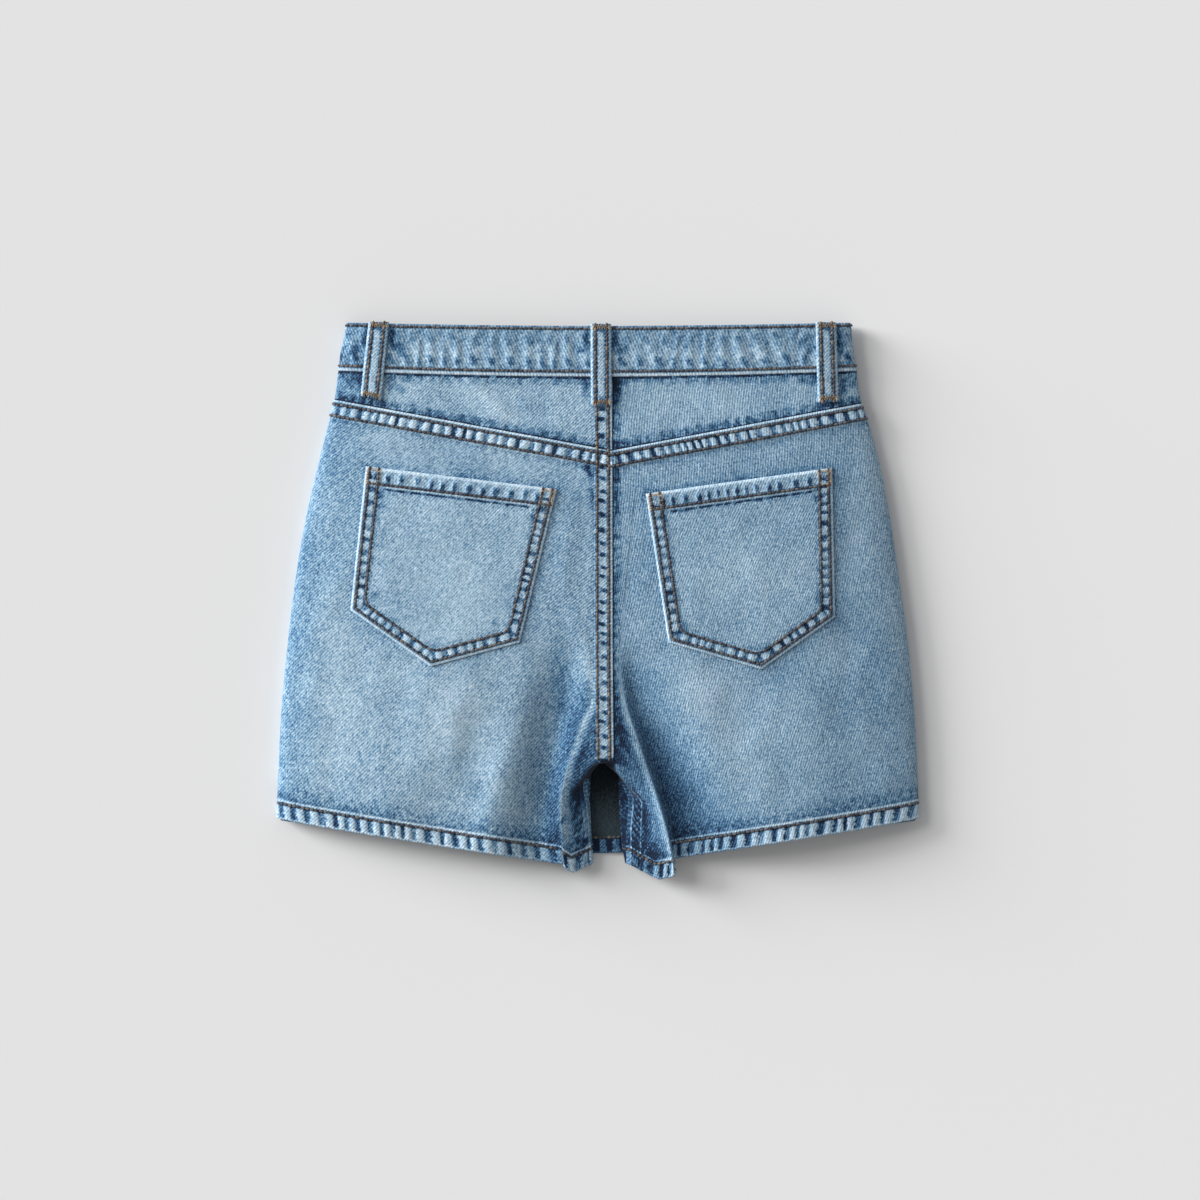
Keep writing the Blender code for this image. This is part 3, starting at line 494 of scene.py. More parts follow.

# Paler and bluer patches, from wear and, in the legs' fold valleys, painted shade: a patch's
# centre, half length, half width, turn in degrees from +X, and how much paler (or, less than 0,
# bluer) it is
WEAR_AND_SHADE = table(
    "x y long wide turn pale",
    # the legs; the bluer patches in the folds' valleys are painted shade
    (-110, -75, 46, 26, 100, 0.1), (-186, -70, 40, 14, 95, 0.07), (-150, -120, 40, 20, 80, -0.03),
    (-90, -132, 34, 10, 118, -0.05), (-66, -148, 24, 6, 110, 0.04),
    (-48, -105, 42, 11, 98, -0.02), (-24, -70, 44, 9, 97, -0.16), (70, -62, 40, 17, 112, 0.1),
    (110, -96, 44, 22, 100, 0.05), (170, -100, 56, 22, 84, -0.05), (204, -60, 90, 12, 97, -0.06),
    (150, -130, 30, 14, 90, 0.03), (66, -134, 46, 22, 122, -0.12),
    # the seat
    (-18, 20, 62, 12, 90, -0.06), (24, 24, 60, 10, 90, -0.04), (-100, 20, 44, 30, 90, 0.05),
    (104, 22, 44, 30, 90, 0.03), (-186, 40, 34, 9, 80, -0.01), (188, 40, 34, 9, 100, 0.05),
    # the yoke
    (-38, 139, 22, 9, 165, -0.05), (102, 146, 40, 12, 10, -0.04), (-70, 138, 26, 7, 140, 0.1),
    (-104, 140, 20, 5, 140, -0.05), (-140, 136, 18, 8, 150, 0.06), (-30, 138, 16, 9, 120, 0.04),
    (44, 140, 22, 8, 60, 0.05), (100, 142, 30, 8, 20, 0.05),
)

# Dark spots where the cloth keeps its first colour, and at the crotch painted shade: centre, half
# length, half width, turn, depth
SPOTS = table(
    "x y long wide turn deep",
    # beside the loops, on the waistband and below it
    (-167, 186, 5, 3.2, 20, 0.34), (-175, 181, 4, 2.6, 30, 0.3), (-145, 183, 7, 3.4, 150, 0.36),
    (-140, 177, 4, 2.2, 0, 0.26), (-148, 191, 2.4, 5, 0, 0.34), (-166, 192, 2.2, 5, 0, 0.3),
    (-171, 158, 3, 7, 8, 0.36), (-178, 156, 5, 3, 130, 0.18), (-168, 148, 2.6, 6, 0, 0.34),
    (-150, 155, 3.4, 5, 0, 0.22), (-143, 152, 5, 2.4, 150, 0.2), (-156, 142, 9, 1.8, 172, 0.26),
    (-8, 188, 2.4, 7, 0, 0.32), (-13, 181, 5, 3, 150, 0.26), (12.4, 186, 2.6, 8, 0, 0.34),
    (18, 180, 5, 3, 30, 0.28), (-8.6, 154, 2.6, 8, 0, 0.34), (13.6, 152, 2.6, 9, 0, 0.36),
    (20, 158, 5, 2.4, 30, 0.22), (153, 181, 5, 3.4, 40, 0.34), (147, 186, 4, 2.4, 20, 0.22),
    (173, 190, 2.4, 6, 0, 0.34), (175, 182, 3.4, 5, 0, 0.34), (180, 176, 3, 3, 0, 0.24),
    (155, 160, 2.4, 5, 0, 0.26), (176, 154, 3, 7, 170, 0.36), (183, 156, 3.6, 3, 60, 0.22),
    (150, 157, 6, 1.8, 160, 0.2), (166, 141, 9, 1.8, 10, 0.26),
    # under the yoke's point, beside the centre seam
    (-5.6, 92, 2.4, 6, 12, 0.36), (-8.6, 96, 3, 3, 0, 0.3), (-4.6, 76, 1.8, 7, 0, 0.24),
    (14, 92, 2, 7, 0, 0.28), (13.4, 70, 1.8, 12, 0, 0.2),
    # inside the pockets' corners
    (-157, 76, 4, 3, 20, 0.22), (-155, 68, 4, 2.4, 150, 0.18), (-46, 62, 5, 2.6, 60, 0.22),
    (-40, 66, 3.4, 2, 0, 0.2), (-160, 4, 3, 4, 0, 0.18), (-120, -31, 8, 2.4, 0, 0.14),
    (-74, -16, 3.4, 2.6, 60, 0.2), (46, 60, 5, 3, 120, 0.2), (52, 4, 3.4, 4, 0, 0.16),
    (62, -18, 4, 2.6, 120, 0.2), (117, -33, 8, 2.4, 0, 0.14), (158, 2, 3, 4, 0, 0.2),
    (157, 74, 4, 3, 160, 0.18),
    # the crotch and inner legs: painted shade in the tent's two creases and round the gap
    (-8.6, -172.6, 1.6, 2.2, 0, 0.4), (-24.6, -157, 1.4, 4, 160, 0.34),
    (-16, -158, 3, 12, 0, 0.22), (-13, -112, 4, 9, 150, 0.16), (18, -96, 3, 14, 20, 0.16),
    (17, -112, 3, 8, 30, 0.2), (35, -160, 3.4, 14, 6, 0.18), (41, -180, 4, 8, 0, 0.2),
    (19.5, -93, 10, 1.3, -44, 0.24), (18.7, -103, 10, 1.3, -59, 0.24),
)


def patches(rows, x, y, sharp=1.0):
    """A table of soft oval patches' total strength at a place."""
    total = np.zeros(np.broadcast(x, y).shape)
    for cx, cy, long, wide, turn, amount in zip(*rows.values()):
        turn = np.radians(turn)
        along = ((x - cx) * np.cos(turn) + (y - cy) * np.sin(turn)) / long
        across = ((y - cy) * np.cos(turn) - (x - cx) * np.sin(turn)) / wide
        total += amount * np.exp(-((along**2 + across**2) ** sharp))
    return total


def uneven(x, y, size, seed):
    """Smooth unevenness between about -1 and 1, with bumps about as large as size."""
    rng = np.random.default_rng(seed)
    total = np.zeros(np.broadcast(x, y).shape)
    for _ in range(9):
        turn = rng.uniform(0, np.pi)
        long = size * rng.uniform(1.4, 3.2)
        phase = rng.uniform(0, 2 * np.pi)
        way = (x * np.cos(turn) + y * np.sin(turn)) * 2 * np.pi / long
        bend = 1.3 * np.sin((x * np.sin(turn) - y * np.cos(turn)) * 2.1 / size + 2 * phase)
        total += np.sin(way + phase + bend)
    return total / 4.5


def beats(at, period, seed):
    """The count of roping waves up to each place along a seam, whose lengths vary."""
    rng = np.random.default_rng(seed)
    count = int(1400 / period)
    knots = np.cumsum(period * rng.uniform(0.62, 1.42, count)) - 700.0
    return np.interp(at, knots, np.arange(count))


def window(at, low, high, soft=1.2):
    """1 between low and high, 0 outside, with soft ends."""
    return ease((at - low) / soft + 0.5) * ease((high - at) / soft + 0.5)


# ---------------- cloth with fine rows


RIM = (0.26, 0.5, 0.74)  # where the rows of a rounded rim lie, from its outer face to its inner
RIM_OUT = 0.8  # how far it reaches out, for half its wall


def runs(*spans):
    """Places along a direction, from spans of (start, end, count)."""
    parts = [np.linspace(a, b, n, endpoint=False) for a, b, n in spans]
    return np.concatenate([*parts, [spans[-1][1]]])


def unit(vectors):
    return vectors / np.maximum(np.linalg.norm(vectors, axis=-1, keepdims=True), 1e-9)


def run_of(grid, axis):
    """How far each point is from its row's or column's start, along the cloth."""
    far = np.cumsum(np.linalg.norm(np.diff(grid, axis=axis), axis=-1), axis=axis)
    return np.insert(far, 0, 0.0, axis=axis)


def cells(rows, columns):
    """The four corners of each of a grid's faces, as the points' numbers."""
    first = (np.arange(rows - 1)[:, None] * columns + np.arange(columns - 1)).ravel()
    return first[:, None] + (0, 1, columns + 1, columns)


def store(mesh, name, values):
    """Keep one number, or three, for each of a mesh's points."""
    values = np.ravel(values)
    one = len(values) == len(mesh.vertices)
    kind, key = ("FLOAT", "value") if one else ("FLOAT_VECTOR", "vector")
    mesh.attributes.new(name, kind, "POINT").data.foreach_set(key, values)


def add_object(name, data):
    made = bpy.data.objects.new(name, data)
    bpy.context.scene.collection.objects.link(made)
    return made


class Cloth:
    """A piece of cloth's outer face, its bands along edges, and what its material reads. across,
    across_back, down and up are a point's distances from the piece's four edges."""

    def __init__(self, name, surface, us, vs, wall=WALL):
        self.name = name
        self.u, self.v = np.meshgrid(us, vs)
        self.grid = surface(self.u.ravel(), self.v.ravel()).reshape(*self.u.shape, 3)
        self.settle()
        self.wall = np.full(self.u.shape, wall)
        self.bands = {}
        # The outer face's paleness, from wear and from painted shade and highlights, and the
        # inside face's painted shade (turned hems raise it to show their outer face)
        self.fade, self.lining = np.zeros((2, *self.u.shape))
        self.across, self.down = run_of(self.grid, 1), run_of(self.grid, 0)
        self.across_back = self.across[:, -1:] - self.across
        self.up = self.down[-1:] - self.down

    @property
    def x(self):
        return self.grid[..., 0]

    @property
    def y(self):
        return self.grid[..., 1]

    def settle(self):
        """Find the directions out of the cloth, away from the laid garment's middle."""
        normal = unit(np.cross(np.gradient(self.grid, axis=1), np.gradient(self.grid, axis=0)))
        outward = (self.grid - (0.0, 0.0, HOLLOW_UP)) * (1.0, 0.0, 1.0)
        self.normal = normal if (normal * outward).sum() > 0 else -normal

    def band(self, name, distance, along, period, seed, strength=1.0, slant=0.0):
        """A worked edge: how far from it each point is, and the roping's count along it."""
        count = beats(along, period, seed) + slant * distance / period
        self.bands[name] = (count, distance, np.broadcast_to(strength, self.u.shape))

    def raise_by(self, height):
        """Move the face out by a height."""
        self.grid = self.grid + self.normal * np.asarray(height)[..., None]

    def rope(self, name, low, high, height):
        """Raise and lower the cloth with a band's roping."""
        count, distance, strength = self.bands[name]
        waves = height * strength * np.cos(2 * np.pi * count)
        self.raise_by(waves * window(distance, low, high, 2.5))

    def turn_hem(self, seed, turned=1.0):
        """A hem: the turned cloth's thickness, and its band."""
        self.wall = mix(WALL, HEM_WALL, window(self.up, -5, HEM_DEEP, 1.5) * turned)
        self.band("hem", self.up, self.across, 8.8, seed, slant=0.12)

    def line(self, name, distance, where=True):
        """The points of a stitch line at a distance from a band's edge, and their normals."""
        layers = self.grid, self.normal, self.bands[name][1], np.broadcast_to(where, self.u.shape)
        down, across = (np.abs(np.diff(layers[2], axis=axis)).mean() for axis in (0, 1))
        if down <= across:
            layers = (layer.swapaxes(0, 1) for layer in layers)
        grid, normal, far, allowed = layers
        found = []
        for j in range(far.shape[1]):
            inside = far[:, j] <= distance
            turns = np.flatnonzero(inside[1:] != inside[:-1])
            if len(turns) and allowed[turns[0], j]:
                i = turns[0]
                s = (distance - far[i, j]) / (far[i + 1, j] - far[i, j])
                found.append([mix(layer[i, j], layer[i + 1, j], s) for layer in (grid, normal)])
        spots, outward = np.array(found).swapaxes(0, 1)
        return spots, unit(outward)

    def make(self, finish, slot):
        """Make the closed mesh: the outer face, the inner one, and a rounded rim between."""
        rows, columns = self.u.shape
        number = np.arange(rows * columns).reshape(rows, columns)
        edge = [number[0], number[1:, -1], number[-1, -2::-1], number[-2:0:-1, 0]]
        edge = np.concatenate(edge)
        row, column = np.divmod(edge, columns)
        outer, normal = self.grid.reshape(-1, 3), self.normal.reshape(-1, 3)
        wall = self.wall.reshape(-1, 1)
        inner = outer - normal * wall
        spots = outer[edge]
        tangent = unit(np.roll(spots, -1, 0) - np.roll(spots, 1, 0))
        away = spots - self.grid[np.clip(row, 1, rows - 2), np.clip(column, 1, columns - 2)]
        away = unit(away)
        for other in (tangent, normal[edge]):
            away = unit(away - other * (away * other).sum(1, keepdims=True))
        middle, half = (spots + inner[edge]) / 2, wall[edge] / 2
        out = [normal[edge] * half * np.cos(np.pi * s) for s in RIM]
        aside = [away * half * RIM_OUT * np.sin(np.pi * s) for s in RIM]
        rim = [middle + a + b for a, b in zip(out, aside)]
        total, n = len(outer), len(edge)
        spots = np.concatenate([outer, inner, *rim]) * MM
        face = cells(rows, columns)
        faces = [face, face[:, ::-1] + total]
        rings = [2 * total + k * n + np.arange(n) for k in range(len(RIM))]
        for high, low in zip([edge, *rings], [*rings, edge + total]):
            faces.append(np.stack([np.roll(high, -1), high, low, np.roll(low, -1)], axis=1))
        faces = np.concatenate(faces)
        a, b, c = (outer[face[:, k]] for k in (0, 1, 3))
        if (np.cross(b - a, c - a) * normal[face[:, 0]]).sum() < 0:
            faces = faces[:, ::-1]
        mesh = bpy.data.meshes.new(self.name + "_denim")
        mesh.vertices.add(len(spots))
        mesh.vertices.foreach_set("co", spots.ravel())
        mesh.loops.add(faces.size)
        mesh.loops.foreach_set("vertex_index", faces.ravel())
        mesh.polygons.add(len(faces))
        mesh.polygons.foreach_set("loop_start", np.arange(0, faces.size, 4))
        mesh.update(calc_edges=True)
        mesh.validate()
        mesh.shade_smooth()

        def everywhere(values):
            flat = values.reshape(total, -1)
            return np.concatenate([flat, flat, *[flat[edge]] * len(RIM)])

        for name, band in self.bands.items():
            store(mesh, name, everywhere(np.stack(band, axis=-1)))
        store(mesh, "fade", everywhere(self.fade))
        store(mesh, "lining", everywhere(self.lining))
        store(mesh, "depth", np.repeat([0.0, 1.0, *RIM], [total, total, *[n] * len(RIM)]))
        flat = everywhere(np.stack([self.across, -self.down], axis=-1))
        grain = mesh.uv_layers.new(name="grain")
        grain.data.foreach_set("uv", flat[faces.ravel()].ravel())
        mesh.materials.append(finish)
        made = add_object(mesh.name, mesh)
        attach(made, "root")
        return made


# ---------------- finishes


def shade(red, green, blue):
    """A colour from its 0 to 255 values, as linear ones."""
    values = np.array([red, green, blue]) / 255
    linear = np.where(values <= 0.04045, values / 12.92, ((values + 0.055) / 1.055) ** 2.4)
    return (*linear.tolist(), 1.0)


def feed(made, given):
    """Set a node's inputs, by name or place: each to a plain value, or to what a node gives."""
    for key, value in dict(given).items():
        value = getattr(value, "socket", value)
        if isinstance(value, bpy.types.NodeSocket):
            made.id_data.links.new(value, made.inputs[key])
        else:
            made.inputs[key].default_value = value
    return made


def node(tree, kind, given=(), **settings):
    """Add a node with its settings and what its inputs get."""
    made = tree.nodes.new(kind)
    for key, value in settings.items():
        setattr(made, key, value)
    return feed(made, given)


class Number:
    """A number in a finish, with which sums are done."""

    def __init__(self, made, output=0):
        self.tree, self.socket = made.id_data, made.outputs[output]

    def sum(self, operation, *others):
        given = enumerate((self, *others))
        return Number(node(self.tree, "ShaderNodeMath", given, operation=operation))

    def __add__(self, other):
        return self.sum("ADD", other)

    def __sub__(self, other):
        return self.sum("SUBTRACT", other)

    def __mul__(self, other):
        return self.sum("MULTIPLY", other)

    def __rsub__(self, other):
        return self * -1.0 + other

    def rise(self, low, high):
        """0 up to low and 1 from high, with no corner. low may be the higher one."""
        given = {0: self, 1: low, 2: high}
        smooth = node(self.tree, "ShaderNodeMapRange", given, interpolation_type="SMOOTHSTEP")
        return Number(smooth)

    def off(self, at):
        """How far it is from a value."""
        return (self - at).sum("ABSOLUTE")


def wave_of(number):
    """A cosine, one wave for each 1."""
    return (number * (2 * np.pi)).sum("COSINE")


def new_finish(name, rough, sheen=0.0, metal=0.0):
    finish = bpy.data.materials.new(name)
    finish.use_nodes = True
    look = {"Roughness": rough, "Metallic": metal, "Sheen Weight": sheen, "Sheen Roughness": 0.5}
    look["Specular IOR Level"] = 0.5 if metal else 0.25
    return finish, finish.node_tree, feed(finish.node_tree.nodes["Principled BSDF"], look)


def noise(tree, vector, size=1.0, detail=2.0, seed=0.0, rough=0.5):
    """Unevenness between about -0.5 and 0.5."""
    given = {"Vector": vector, "Scale": 1 / size, "Detail": detail, "Roughness": rough, "W": seed}
    return Number(node(tree, "ShaderNodeTexNoise", given, noise_dimensions="4D")) - 0.5


def attribute(tree, name, output="Fac"):
    return Number(node(tree, "ShaderNodeAttribute", attribute_name=name), output)


def ramp(tree, number, *stops):
    """Colours by a number, from stops of (place, colour)."""
    made = node(tree, "ShaderNodeValToRGB", {0: number})
    marks = made.color_ramp.elements
    for k in (-1, 0):
        marks[k].position, marks[k].color = stops[k]
    for at, colour in stops[1:-1]:
        marks.new(at).color = colour
    return made.outputs[0]


# What a worn band reads: the folded edge's width, where the stitch lines run and the painted shade
# beside them, the roped patches, round dots, a line and blots of unfaded cloth beside the band,
# and a broken groove of painted shadow
BAND_NOISES = ("Ragged", "Uneven", "Blots", "Broken", "Cloud")
BAND_LOOK = (
    "Edge width", "Edge pale", "Stitch 1", "Stitch 2", "Stitch dark",
    "Rope from", "Rope to", "Rope depth", "Rope share", "Dots at", "Dots width", "Dots dark",
    "Line from", "Line to", "Line pale", "Blots from", "Blots to", "Blots dark",
    "Groove from", "Groove to", "Groove dark",
)  # fmt: skip
# A Line pale below 0, as for the centre, is painted shade on the strip beside the band, where the
# lamps light its raised edge
LOOKS = {
    "felled": (0.95, 0.25, 2.5, 10.9, 0.36, 2.9, 10.6, 0.74, 0.14, 0, 0, 0,
               11.9, 13.4, 0.1, 12.6, 21, 0.16, 0, 0, 0),
    "centre": (0.95, 0.27, 2.5, 10.9, 0.36, 2.9, 10.6, 0.1, 1.3, 6.7, 4.6, 0.74,
               11.9, 13.4, -0.06, 12.6, 18, 0.14, 0, 0, 0),
    "hemmed": (1.3, 0.16, 10.5, -9, 0.34, 0.2, 10.9, 0.74, 0.13, 0, 0, 0,
               11.7, 13.2, 0.24, 13.2, 32, 0.26, 0, 0, 0),
    "pocket_side": (1.1, 0.2, 2.8, 9.4, 0.34, 2.9, 9.4, 0.6, 0.08, 0, 0, 0,
                    10.3, 11.6, 0.1, 10.6, 15, 0.2, 0, 0, 0),
    "pocket_top": (2, 0.22, 11.6, -9, 0.34, 2.6, 10.6, 0.12, 0.5, 7.2, 5.6, 0.56,
                   12.6, 13.4, 0.22, 14.4, 21, 0.22, 13.9, 15.6, 0.44),
    "band_top": (1, 0, 1, -9, 0.3, -8, 24, 0.12, 0.1, 9, 7, 0.18, 0, 0, 0, 2.2, 40, 0.12, 0, 0, 0),
    "band_low": (1, 0.28, 2.9, -9, 0.34, 2, 16, 0.1, 0.5, 9, 6.4, 0.36,
                 0, 0, 0, 4.2, 16, 0.14, 0, 0, 0),
    "loop_side": (1.1, 0.14, 2.9, -9, 0.3, 0.8, 5, 0.12, -0.1, *[0] * 12),
    "covered": (1, 0, -9, -9, 0, -3, 7, 0.2, -0.2, *[0] * 6, -0.4, 12, 0.3, -1, 1.2, 0.4),
    "covered_waist": (1, 0, -9, -9, 0, -3, 7, 0.2, -0.2, *[0] * 6, -0.4, 12, 0.3, -1, 2.2, 0.7),
    "inseam_left": (0.8, 0.1, -9, -9, 0, 0.4, 14, 0.1, -0.2, 0, 0, 0,
                    3.2, 3.9, 0.12, 4, 18, 0.3, 0, 0, 0),
    "inseam_right": (0.9, 0.34, -9, -9, 0, 0.4, 7.4, 0.36, -0.16, 0, 0, 0,
                     6.9, 7.7, 0.42, 7.8, 14, 0.34, 0, 0, 0),
}  # fmt: skip


def worn_band():
    """How much paler a worked edge makes the cloth, with painted shade at its stitches and
    grooves, and how high it stands.
    """
    tree = bpy.data.node_groups.new("worn_band", "ShaderNodeTree")
    numbers = (*BAND_NOISES, *BAND_LOOK)
    for label in ("Band", *numbers):
        kind = "NodeSocketVector" if label == "Band" else "NodeSocketFloat"
        tree.interface.new_socket(label, in_out="INPUT", socket_type=kind)
    for label in ("Fade", "Height"):
        tree.interface.new_socket(label, in_out="OUTPUT", socket_type="NodeSocketFloat")
    start = tree.nodes.new("NodeGroupInput")
    g = {label: Number(start, label) for label in numbers}
    split = node(tree, "ShaderNodeSeparateXYZ", {0: start.outputs["Band"]})
    count, distance, strength = (Number(split, k) for k in range(3))
    distance = distance + g["Ragged"] * 1.1

    def chance(whole):
        given = {"W": whole.sum("FLOOR")}
        return Number(node(tree, "ShaderNodeTexWhiteNoise", given, noise_dimensions="1D"), "Value")

    def step(label, low, high):
        return distance.rise(g[label] + low, g[label] + high)

    each, between = chance(count + 0.5), chance(count + 0.37)
    low, high = g["Rope from"], g["Rope to"]
    from_middle = (distance - (low + high) * 0.5).sum("DIVIDE", (high - low) * 0.5)
    body = 1.0 - from_middle * from_middle
    rope = wave_of(count + g["Uneven"] * 0.6)
    inside = body.rise(-0.15, 0.25)
    pale = (rope * body.rise(-1.0, 0.4) + g["Uneven"] * 2.0).rise(-1.0, 0.5)
    dark = between * 0.6 + 0.3
    patch = (pale * (dark + 0.10) - dark) * (g["Cloud"] * 2.4 + 1.0) + g["Rope share"]
    fade = patch * g["Rope depth"] * inside
    height = rope * 0.3 * inside
    width = g["Edge width"]
    edge = distance.rise(width * 1.3, width * 0.6) * (g["Broken"] * 1.6 + 0.86)
    fade = fade + edge * g["Edge pale"]
    # Painted shade along each stitch line
    for key in ("Stitch 1", "Stitch 2"):
        off = distance.off(g[key])
        fade = fade - off.rise(1.9, 0.5) * g["Stitch dark"] * (g["Blots"] * 1.5 + 1.0)
        height = height - off.rise(1.6, 0.0) * 0.8
    off = (distance - g["Dots at"] - each * 2.4 + 1.2).sum("ABSOLUTE")
    dots = wave_of(count + g["Uneven"] * 0.4).rise(-0.1, 1.0) * off.rise(g["Dots width"], 0.0)
    fade = fade - dots * (each * 0.5 + 0.75) * g["Dots dark"]
    line = step("Line from", -0.5, 0.5) * step("Line to", 0.8, -0.8)
    fade = fade + line * g["Line pale"] * (g["Broken"] * 1.6 + 0.9)
    near = step("Blots from", -0.6, 0.6) * distance.rise(g["Blots to"], g["Blots from"])
    fade = fade - (g["Blots"] + near * 0.16).rise(-0.06, 0.26) * near * g["Blots dark"]
    # A broken groove of painted shadow beside an overlapping edge
    groove = step("Groove from", -0.4, 0.5) * step("Groove to", 0.5, -0.4)
    torn = (g["Broken"] + rope * 0.1).rise(-0.16, 0.1) * 0.7 + 0.3
    fade = fade - groove * g["Groove dark"] * torn
    node(tree, "NodeGroupOutput", {"Fade": fade * strength, "Height": height * strength})
    return tree


TWILL = 1.8  # between two twill lines
INDIGO = (
    (0.0, shade(13, 30, 54)), (0.18, shade(42, 80, 116)), (0.36, shade(85, 125, 156)),
    (0.55, shade(139, 167, 188)), (0.74, shade(174, 198, 214)), (1.0, shade(218, 229, 238)),
)  # fmt: skip
# The inside face's colours, far darker than the pale weft side of denim: painted shade, as deep as
# between the legs
INSIDE_SHADED = ((0.0, shade(16, 26, 32)), (1.0, shade(78, 98, 106)))
BAND_WEAR_AND_SHADE = worn_band()


def denim(name, bands, twill_turn, base=0.55):
    """Washed denim: twill lines, uneven yarns, fading, worn bands each with its look, and painted
    shade.
    """
    finish, tree, shader = new_finish(name, 0.92, sheen=0.12)
    grain = node(tree, "ShaderNodeUVMap", uv_map="grain").outputs[0]
    split = node(tree, "ShaderNodeSeparateXYZ", {0: grain})
    across, up = Number(split, 0), Number(split, 1)
    turn = np.radians(twill_turn)
    seeds = sum(map(ord, name)) % 50
    warp = noise(tree, grain, 7.0, 2.0, 1.0) * 0.9
    lines = across * (np.sin(turn) / TWILL) - up * (np.cos(turn) / TWILL) + warp
    scale = {"Scale": (1 / 0.95, 1 / 9.0, 1.0), "Vector": grain}
    yarns = node(tree, "ShaderNodeMapping", scale).outputs[0]
    yarn = noise(tree, yarns, 1.0, 2.0, seeds + 2.0)
    speck = noise(tree, grain, 1.7, 2.0, seeds + 4.0, 0.75)
    fleck = noise(tree, grain, 3.0, 3.0, seeds + 5.0, 0.7)
    cloud = noise(tree, grain, 24.0, 4.0, seeds + 6.0, 0.6)
    blots = noise(tree, grain, 3.8, 3.0, seeds + 7.0)
    broken = noise(tree, grain, 5.0, 2.0, seeds + 8.0)
    twill = wave_of(lines) * (fleck * 3.0 + 1.0)
    fine = twill * 0.085 + yarn * 0.44 + speck * 1.08 + fleck * 0.34
    fade = attribute(tree, "fade") + cloud * 0.19 + base + fine
    bump = twill * 0.25 + speck * 1.3
    noises = dict(zip(BAND_NOISES, (speck + fleck, fleck, blots, broken, cloud)))
    for band, look in bands.items():
        given = {"Band": attribute(tree, band, "Vector"), **noises}
        worn = node(tree, "ShaderNodeGroup", node_tree=BAND_WEAR_AND_SHADE)
        feed(worn, {**given, **dict(zip(BAND_LOOK, LOOKS[look]))})
        fade = fade + Number(worn, "Fade")
        bump = bump + Number(worn, "Height") * 1.6
    depth, lining = attribute(tree, "depth"), attribute(tree, "lining")
    turned_up = lining.rise(0.3, 0.9)
    # Painted shade on the middle of each rounded rim
    fade = fade - depth.off(0.5).rise(0.5, 0.0) * 0.14
    # Painted shade on the inside of turned hems, which show their outer face there
    fade = fade - (turned_up + depth - 1.0).rise(0.0, 1.0) * 0.48
    outside = ramp(tree, fade, *INDIGO)
    inside = ramp(tree, fine * 0.9 + 0.45 + cloud * 0.2 + lining, *INSIDE_SHADED)
    sides = node(tree, "ShaderNodeMix", data_type="RGBA")
    feed(sides, {"Factor": (depth - turned_up).rise(0.6, 0.95), "A": outside, "B": inside})
    raised = node(tree, "ShaderNodeBump", {"Strength": 0.5, "Distance": 0.0005, "Height": bump})
    feed(shader, {"Base Color": sides.outputs["Result"], "Normal": raised.outputs[0]})
    return finish


def thread_finish(name, dark, middle, light):
    """Sewing thread: each stitch its own tone, and a change along it from ply to ply."""
    finish, tree, shader = new_finish(name, 0.7, sheen=0.2)
    place = node(tree, "ShaderNodeTexCoord").outputs["Object"]
    ply = noise(tree, place, 0.0007, 1.0, 3.0)
    tone = attribute(tree, "tone") * 0.7 + ply * 0.9 + 0.16
    colour = ramp(tree, tone, (0.12, shade(*dark)), (0.5, shade(*middle)), (0.9, shade(*light)))
    feed(shader, {"Base Color": colour})
    return finish


def brass_finish():
    finish, tree, shader = new_finish("aged_brass", 0.36, metal=1.0)
    place = node(tree, "ShaderNodeTexCoord").outputs["Object"]
    worn = noise(tree, place, 0.0016, 3.0, 2.0)
    colour = ramp(tree, worn + 0.5, (0.0, shade(92, 70, 44)), (1.0, shade(176, 142, 92)))
    feed(shader, {"Base Color": colour, "Roughness": worn * 0.3 + 0.36})
    return finish


# ---------------- sewing


def joined_rings(name, rings):
    """A closed mesh from rings of points in mm, each joined to the next."""
    starts = np.cumsum([0, *map(len, rings)]).tolist()
    faces = []
    for a, b, c in zip(starts, starts[1:], starts[2:]):
        m, n = b - a, c - b
        for k in range(max(m, n)):
            corners = (a + k % m, b + k % n, b + (k + 1) % n, a + (k + 1) % m)
            faces.append(tuple(dict.fromkeys(corners)))
    if starts[1] > 1:
        faces += [tuple(range(starts[1])), tuple(range(*starts[-2:]))[::-1]]
    mesh = bpy.data.meshes.new(name)
    mesh.from_pydata((np.concatenate(rings) * MM).tolist(), [], faces)
    work = bmesh.new()
    work.from_mesh(mesh)
    bmesh.ops.recalc_face_normals(work, faces=work.faces)
    work.to_mesh(mesh)
    work.free()
    return mesh


def stitch_shape(long, thick, rows=7, sides=8):
    """One stitch along X: two plies of thread twisted together, which dive into the cloth at
    both ends."""
    turn = np.arange(sides) / sides * 2 * np.pi
    rings = []
    for s in np.linspace(-1, 1, rows):
        lobe = 0.72 + 0.28 * np.abs(np.cos(turn + s * 2.2))
        size = thick / 2 * lobe * max(1 - abs(s) ** 7, 0.3)
        high = 0.6 * size * np.sin(turn) + thick * (0.14 - 0.24 * s**6)
        rings.append(points(s * long / 2, size * np.cos(turn), high))
    return add_object("stitch", joined_rings("stitch", rings))


